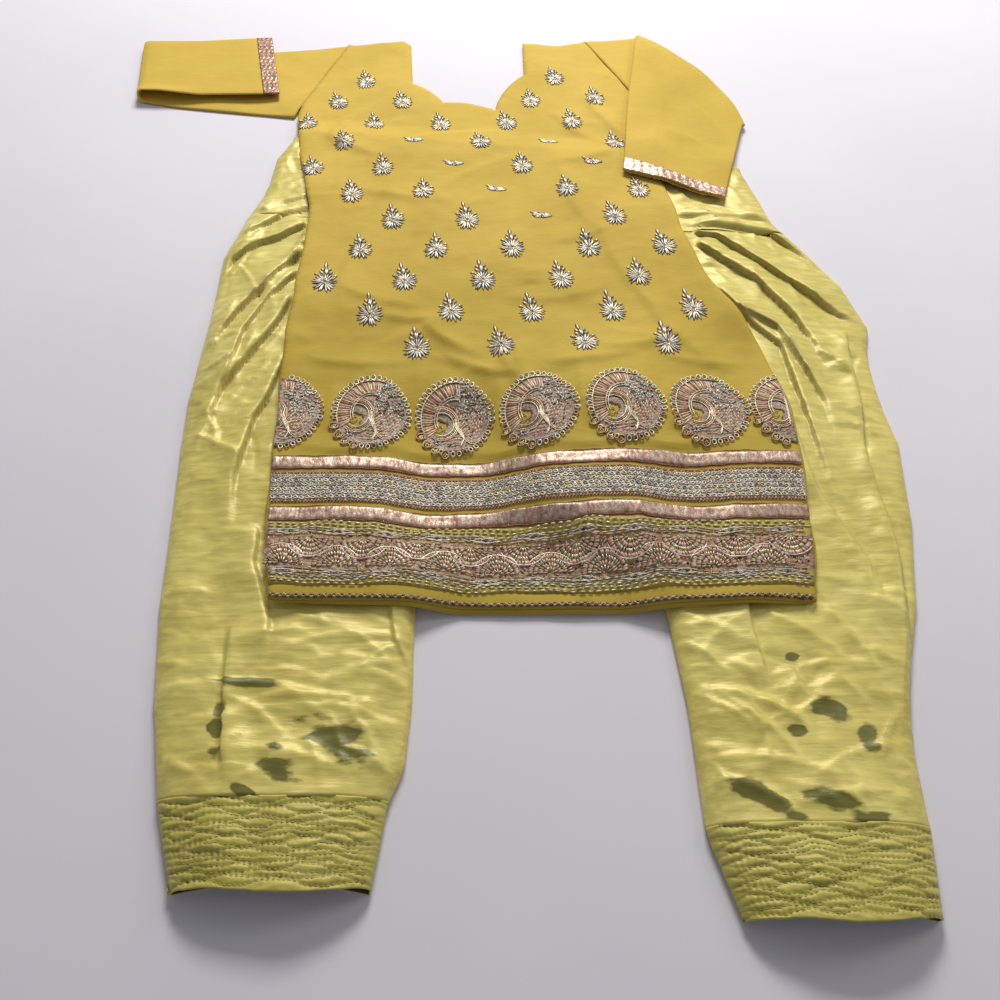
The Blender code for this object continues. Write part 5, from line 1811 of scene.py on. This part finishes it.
def roundel_ground_piece(name, x):
    """The stitched ground of a roundel, bare inside its crescent and cut off at the side seams."""
    rings, spokes = 12, 56
    points, faces = [(0.0, 0.0)], []
    for ring in range(1, rings + 1):
        for k in range(spokes):
            turn = math.tau * k / spokes - math.pi
            reach = roundel_reach(turn) * 0.95 * ring / rings
            points.append(polar(reach, turn))
    for k in range(spokes):
        faces.append((0, 1 + k, 1 + (k + 1) % spokes))
    faces += [tuple(k + 1 for k in face) for face in tube_faces(rings, spokes)]
    plan = np.array(points) * (HALF_WIDE, HALF_HIGH) + (x, ROUNDEL_Y)
    left, right = front_sides(plan[:, 1])
    plan[:, 0] = np.clip(plan[:, 0], left, right)
    kept = []
    for face in faces:
        u = np.mean([points[k][0] for k in face])
        v = np.mean([points[k][1] for k in face])
        bare = math.hypot((u + 0.40) / 0.25, (v + 0.22) / 0.20) < 1.0 and u < -0.36 + 0.5 * v + 0.25
        wide = np.ptp([plan[k, 0] for k in face]) > 1e-5
        if wide and not bare:
            kept.append(face)
    used = sorted({k for face in kept for k in face})
    index = {k: n for n, k in enumerate(used)}
    kept = [tuple(index[k] for k in face) for face in kept]
    plan = plan[used]
    edges = {(a, b) for face in kept for a, b in zip(face, face[1:] + face[:1])}
    rim = [(a, b) for a, b in edges if (b, a) not in edges]
    rim.sort()
    heights = front_height(plan[:, 0], plan[:, 1]) + 0.0010
    return laid_cloth(name, plan, kept, rim, heights, 0.0008, roundel_ground)


def build_roundel(number, x, seed):
    """One roundel's ground and its thread work."""
    draw = random.Random(seed)
    work = new_work()
    left, right = front_ends(ROUNDEL_Y)
    tilt = draw.uniform(-0.08, 0.08)

    def shows(px):
        return left + 0.002 < px < right - 0.002

    def spot(u, v):
        cos, sin = math.cos(tilt), math.sin(tilt)
        return x + HALF_WIDE * (u * cos - v * sin), ROUNDEL_Y + HALF_HIGH * (u * sin + v * cos)

    def petal(kind, u, v, turn, length, width, rise, low=0.0, rows=4):
        px, py = spot(u, v)
        if shows(px) and shows(px + length * math.cos(turn + tilt)):
            add_petal(work, kind, px, py, turn + tilt, length, width, rise, low, rows)

    def ring(kind, u, v, reach, radius, squeeze=1.0, turn=0.0, parts=11):
        px, py = spot(u, v)
        if shows(px - reach) and shows(px + reach):
            add_ring(work, kind, px, py, reach, radius, 0.0, 4, squeeze, turn + tilt, parts)

    def bead(kind, u, v, radius, low=0.0, clear=0.002):
        px, py = spot(u, v)
        if shows(px - clear) and shows(px + clear):
            add_bead(work, kind, px, py, radius, low)

    def run(kind, shape, radius, low=0.0):
        line = [spot(u, v) for u, v in shape]
        line = [point for point in line if shows(point[0])]
        if len(line) > 2:
            add_run(work, kind, line, radius, low)

    # The rim of loops, larger at the upper left, and beads along the lower right
    loops = 38
    for k in range(loops):
        turn = math.tau * k / loops - math.pi
        reach = roundel_reach(turn)
        size = 0.0034 if 1.4 < turn or turn < -2.7 else 0.0028
        kind = (GOLD, SILVER, CREAM)[k % 3] if turn > 0 else (SILVER, GOLD, BRONZE)[k % 3]
        ring(kind, *polar(0.955 * reach, turn), size, 0.00078, 0.8, turn)
    for k in range(50):
        turn = -1.75 + 2.0 * k / 49
        reach = 0.86 * roundel_reach(turn)
        bead((SILVER, GREY)[k % 2], *polar(reach, turn), 0.0011)
    # The comb of ribs over the upper left
    for k in range(27):
        turn = 1.25 + 2.35 * k / 26
        start = 0.50 + 0.04 * math.sin(3 * k)
        u, v = polar(start, turn)
        lean = math.atan2(HALF_HIGH * math.sin(turn), HALF_WIDE * math.cos(turn)) + 0.25
        kind = (PINK, PINK, BRONZE, PINK, GOLD)[k % 5]
        petal(kind, u, v, lean, 0.0195, 0.0031, 0.0019, rows=5)
        petal(CREAM if k % 3 == 0 else DARK, u * 1.1, v * 1.1, lean + 0.09, 0.0150, 0.0009, 0.0008, rows=3)
    for reach in (0.47, 0.53, 0.88):
        arc = [polar(reach, t) for t in np.linspace(1.2, 3.6, 34)]
        run(GOLD if reach > 0.5 else SILVER, arc, 0.0006, 0.0004)
    # Silver florets and knots over the upper right
    for k in range(120):
        turn, reach = draw.uniform(-0.1, 1.35), draw.uniform(0.20, 0.86)
        kind = draw.choices((SILVER, GREY, CREAM, DARK), (0.42, 0.30, 0.14, 0.14))[0]
        u, v = polar(reach, turn)
        petal(kind, u, v, draw.uniform(0, 6.3), 0.0056, 0.0022, 0.0016, rows=3)
    for u, v in ((0.25, 0.70), (0.55, 0.52), (0.30, 0.34), (0.62, 0.18), (0.10, 0.52)):
        for k in range(7):
            turn = math.tau * k / 7 + draw.uniform(-0.1, 0.1)
            petal(SILVER, u, v, turn, 0.0046, 0.0022, 0.0015, 0.0006, rows=4)
        bead(DARK, u, v, 0.0011, 0.0010)
    # The neck of the comma, curling round the bare crescent
    for shift, kind in ((0.0, SILVER), (0.045, BRONZE), (0.09, GOLD), (0.135, PINK)):
        shape = []
        for s in np.linspace(0, 1, 30):
            turn = 2.1 - 4.4 * s
            reach = 0.34 - 0.06 * s + shift
            shape.append((-0.34 + reach * math.cos(turn), -0.14 + reach * math.sin(turn)))
        run(kind, shape, 0.00068, 0.0004)
    for s in np.linspace(0.05, 0.95, 15):
        turn = 2.0 - 2.6 * s
        u, v = -0.34 + 0.50 * math.cos(turn), -0.14 + 0.50 * math.sin(turn)
        petal((PINK, BRONZE)[round(s * 15) % 2], u, v, turn + 1.2, 0.0090, 0.0022, 0.0013, rows=4)
    shape = [(-0.42 + 0.10 * math.cos(t), -0.20 + 0.09 * math.sin(t)) for t in np.linspace(-2.6, 1.8, 14)]
    run(BRONZE, shape, 0.0006)
    # The lower lobe, filled on the slant
    for row in range(11):
        for k in range(17):
            u = -0.42 + 0.085 * k + 0.02 * (row % 2) + draw.gauss(0, 0.012)
            v = -0.84 + 0.086 * row + draw.gauss(0, 0.012)
            beyond = math.hypot(u, v) > 0.80 or math.hypot((u + 0.36) / 0.40, (v + 0.16) / 0.36) < 1
            if beyond or v > 0.12 * u + 0.02:
                continue
            kind = draw.choices((PINK, BRONZE, GREY, GOLD, DARK), (0.56, 0.12, 0.10, 0.16, 0.06))[0]
            petal(kind, u, v, 0.9 + 0.5 * math.sin(3 * u + 2 * v), 0.0068, 0.0021, 0.0015, rows=3)
    for shift, kind in ((0.0, SILVER), (0.05, GOLD)):
        shape = [(-0.05 + 0.72 * s, -0.10 - 0.62 * math.sin(2.2 * s) + shift) for s in np.linspace(0, 1, 22)]
        run(kind, shape, 0.0006, 0.0006)
        shape = [(0.12 + 0.10 * math.sin(5 * s), -0.78 + 0.74 * s + shift) for s in np.linspace(0, 1, 22)]
        run(kind, shape, 0.0006, 0.0006)
    # A grey flower and bronze loops at the lower left
    for k in range(8):
        turn = math.tau * k / 8
        petal((GREY, SILVER)[k % 2], -0.46, -0.60, turn, 0.0058, 0.0026, 0.0014, 0.0004)
    bead(DARK, -0.46, -0.60, 0.0014, 0.0012, 0.003)
    for turn in (-2.68, -2.40, -2.12, -1.85):
        u, v = polar(1.0, turn)
        ring(BRONZE, u, v, 0.0050, 0.0011, 0.8, turn, 13)
        ring(GOLD, u, v, 0.0021, 0.0006, 0.8, turn, 9)
    ground = roundel_ground_piece(f"roundel_{number}_ground", x)
    threads = embroidered(f"roundel_{number}_threads", work, SEVEN_THREADS, 0.0008)
    return ground, threads


for number, x in enumerate(ROUNDEL_X, 1):
    ground, threads = build_roundel(number, x, 100 + number)
    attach(ground, "root")
    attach(threads, "root")
    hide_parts(f"roundel_{number}")

# ---- Small sprigs ----
# Teardrop sprigs of silver and gold thread scattered over the front in a slanting repeat, each a
# fan of twenty-one slim petals under a pointed tip, with dark stitches between them.

Sprig = namedtuple("Sprig", "x y size lean squeeze")
# The sprigs repeat on a slanting lattice: a step along a row, and a step up to the next row
SPRIG_START = (-0.1235, -0.0517)
SPRIG_ALONG = (0.0964, 0.0024)
SPRIG_UP = (0.0372, 0.0604)
SPRIG_LINES = 11
SPRIG_LOWEST = -0.050
SPRIG_MARGIN = 0.012
# The cloth slopes along these lines of x + y, so that sprigs on them look thin. Each line has its
# least y, and SLOPE_TOP is the greatest y of both.
SLOPES = ((0.315, 0.16), (0.511, 0.29))
SLOPE_TOP = 0.40
FAN_PETALS = 21
# The tip's petals: thread, place from the sprig's middle, direction, length
TIP_PETALS = (
    (0, -0.05, 0.06, 2.30, 0.17),
    (1, 0.05, 0.07, 0.95, 0.16),
    (0, -0.02, 0.10, 1.62, 0.20),
    (2, -0.07, 0.18, 2.15, 0.13),
    (1, 0.02, 0.20, 1.00, 0.12),
    (0, -0.04, 0.24, 1.72, 0.27),
    (0, 0.00, 0.05, 1.50, 0.24),
    (0, -0.16, 0.02, 2.75, 0.12),
    (2, 0.17, 0.00, 0.50, 0.13),
)


def sprig_places():
    """The repeat's points that lie inside the panel, clear of its edge."""
    edge = kameez_outline(0.01)
    places = []
    for line in range(SPRIG_LINES):
        for k in range(-12, 13):
            x = SPRIG_START[0] + SPRIG_ALONG[0] * k + SPRIG_UP[0] * line
            y = SPRIG_START[1] + SPRIG_ALONG[1] * k + SPRIG_UP[1] * line
            here = (np.array([x]), np.array([y]))
            inside = y > SPRIG_LOWEST and in_outline(edge, *here)[0]
            if inside and distance_to(edge + edge[:1], *here)[0] > SPRIG_MARGIN:
                places.append((x, y))
    return places


def add_sprig(work, row, draw):
    """A padded fan of petals around a point, and a tapering tip above it."""
    size, squeeze = row.size, row.squeeze

    def petal(kind, u, v, turn, length, width, rise, low=0.0, rows=5):
        cos, sin = math.cos(row.lean), math.sin(row.lean)
        px = row.x + size * (u * cos - v * sin * squeeze)
        py = row.y + size * (u * sin + v * cos) * squeeze
        du, dv = math.cos(turn + row.lean), math.sin(turn + row.lean) * squeeze
        reach = size * length * math.hypot(du, dv)
        add_petal(work, kind, px, py, math.atan2(dv, du), reach, size * width, size * rise, low, rows)

    heart = (0.03, -0.17)
    for k in range(FAN_PETALS):
        turn = math.tau * k / FAN_PETALS + 0.25 + draw.gauss(0, 0.05)
        u = heart[0] + 0.020 * math.cos(turn)
        v = heart[1] + 0.020 * math.sin(turn)
        reach = 0.285 + 0.02 * math.sin(2 * k) + (0.05 if math.sin(turn) < -0.5 else 0.0)
        kind = draw.choices((0, 1, 2), (0.50, 0.30, 0.20))[0]
        petal(3, u, v, turn, reach * 1.03, 0.092, 0.008)
        petal(kind, u, v, turn, reach, 0.066, 0.022, 0.0002)
    for k in range(8):
        turn = math.tau * k / 8 + 0.4
        petal((0, 2, 1)[k % 3], heart[0], heart[1], turn, 0.135, 0.060, 0.026, 0.0007, rows=4)
    for kind, u, v, turn, reach in TIP_PETALS:
        petal(3, u, v, turn, reach * 1.06, 0.100, 0.010)
        petal(kind, u, v, turn, reach, 0.072, 0.030, 0.0002)


outline_thread = thread_finish("outline_thread", (0.12, 0.09, 0.04), (0.30, 0.22, 0.10), 0.1, 0.55)
draw = random.Random(71)
sprigs = new_work()
for x, y in sprig_places():
    thin = any(abs(x + y - total) < 0.025 and low < y < SLOPE_TOP for total, low in SLOPES)
    size = (0.040 if thin else 0.0505) + 0.006 * (0.3 - y)
    lean = (0.75 if thin else 0.03) + draw.gauss(0, 0.05)
    add_sprig(sprigs, Sprig(x, y, size, lean, 0.42 if thin else draw.uniform(1.02, 1.14)), draw)
sprig_threads = embroidered(
    "front_sprigs", sprigs, (silver_thread, grey_thread, gold_thread, outline_thread), 0.0001
)
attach(sprig_threads, "root")
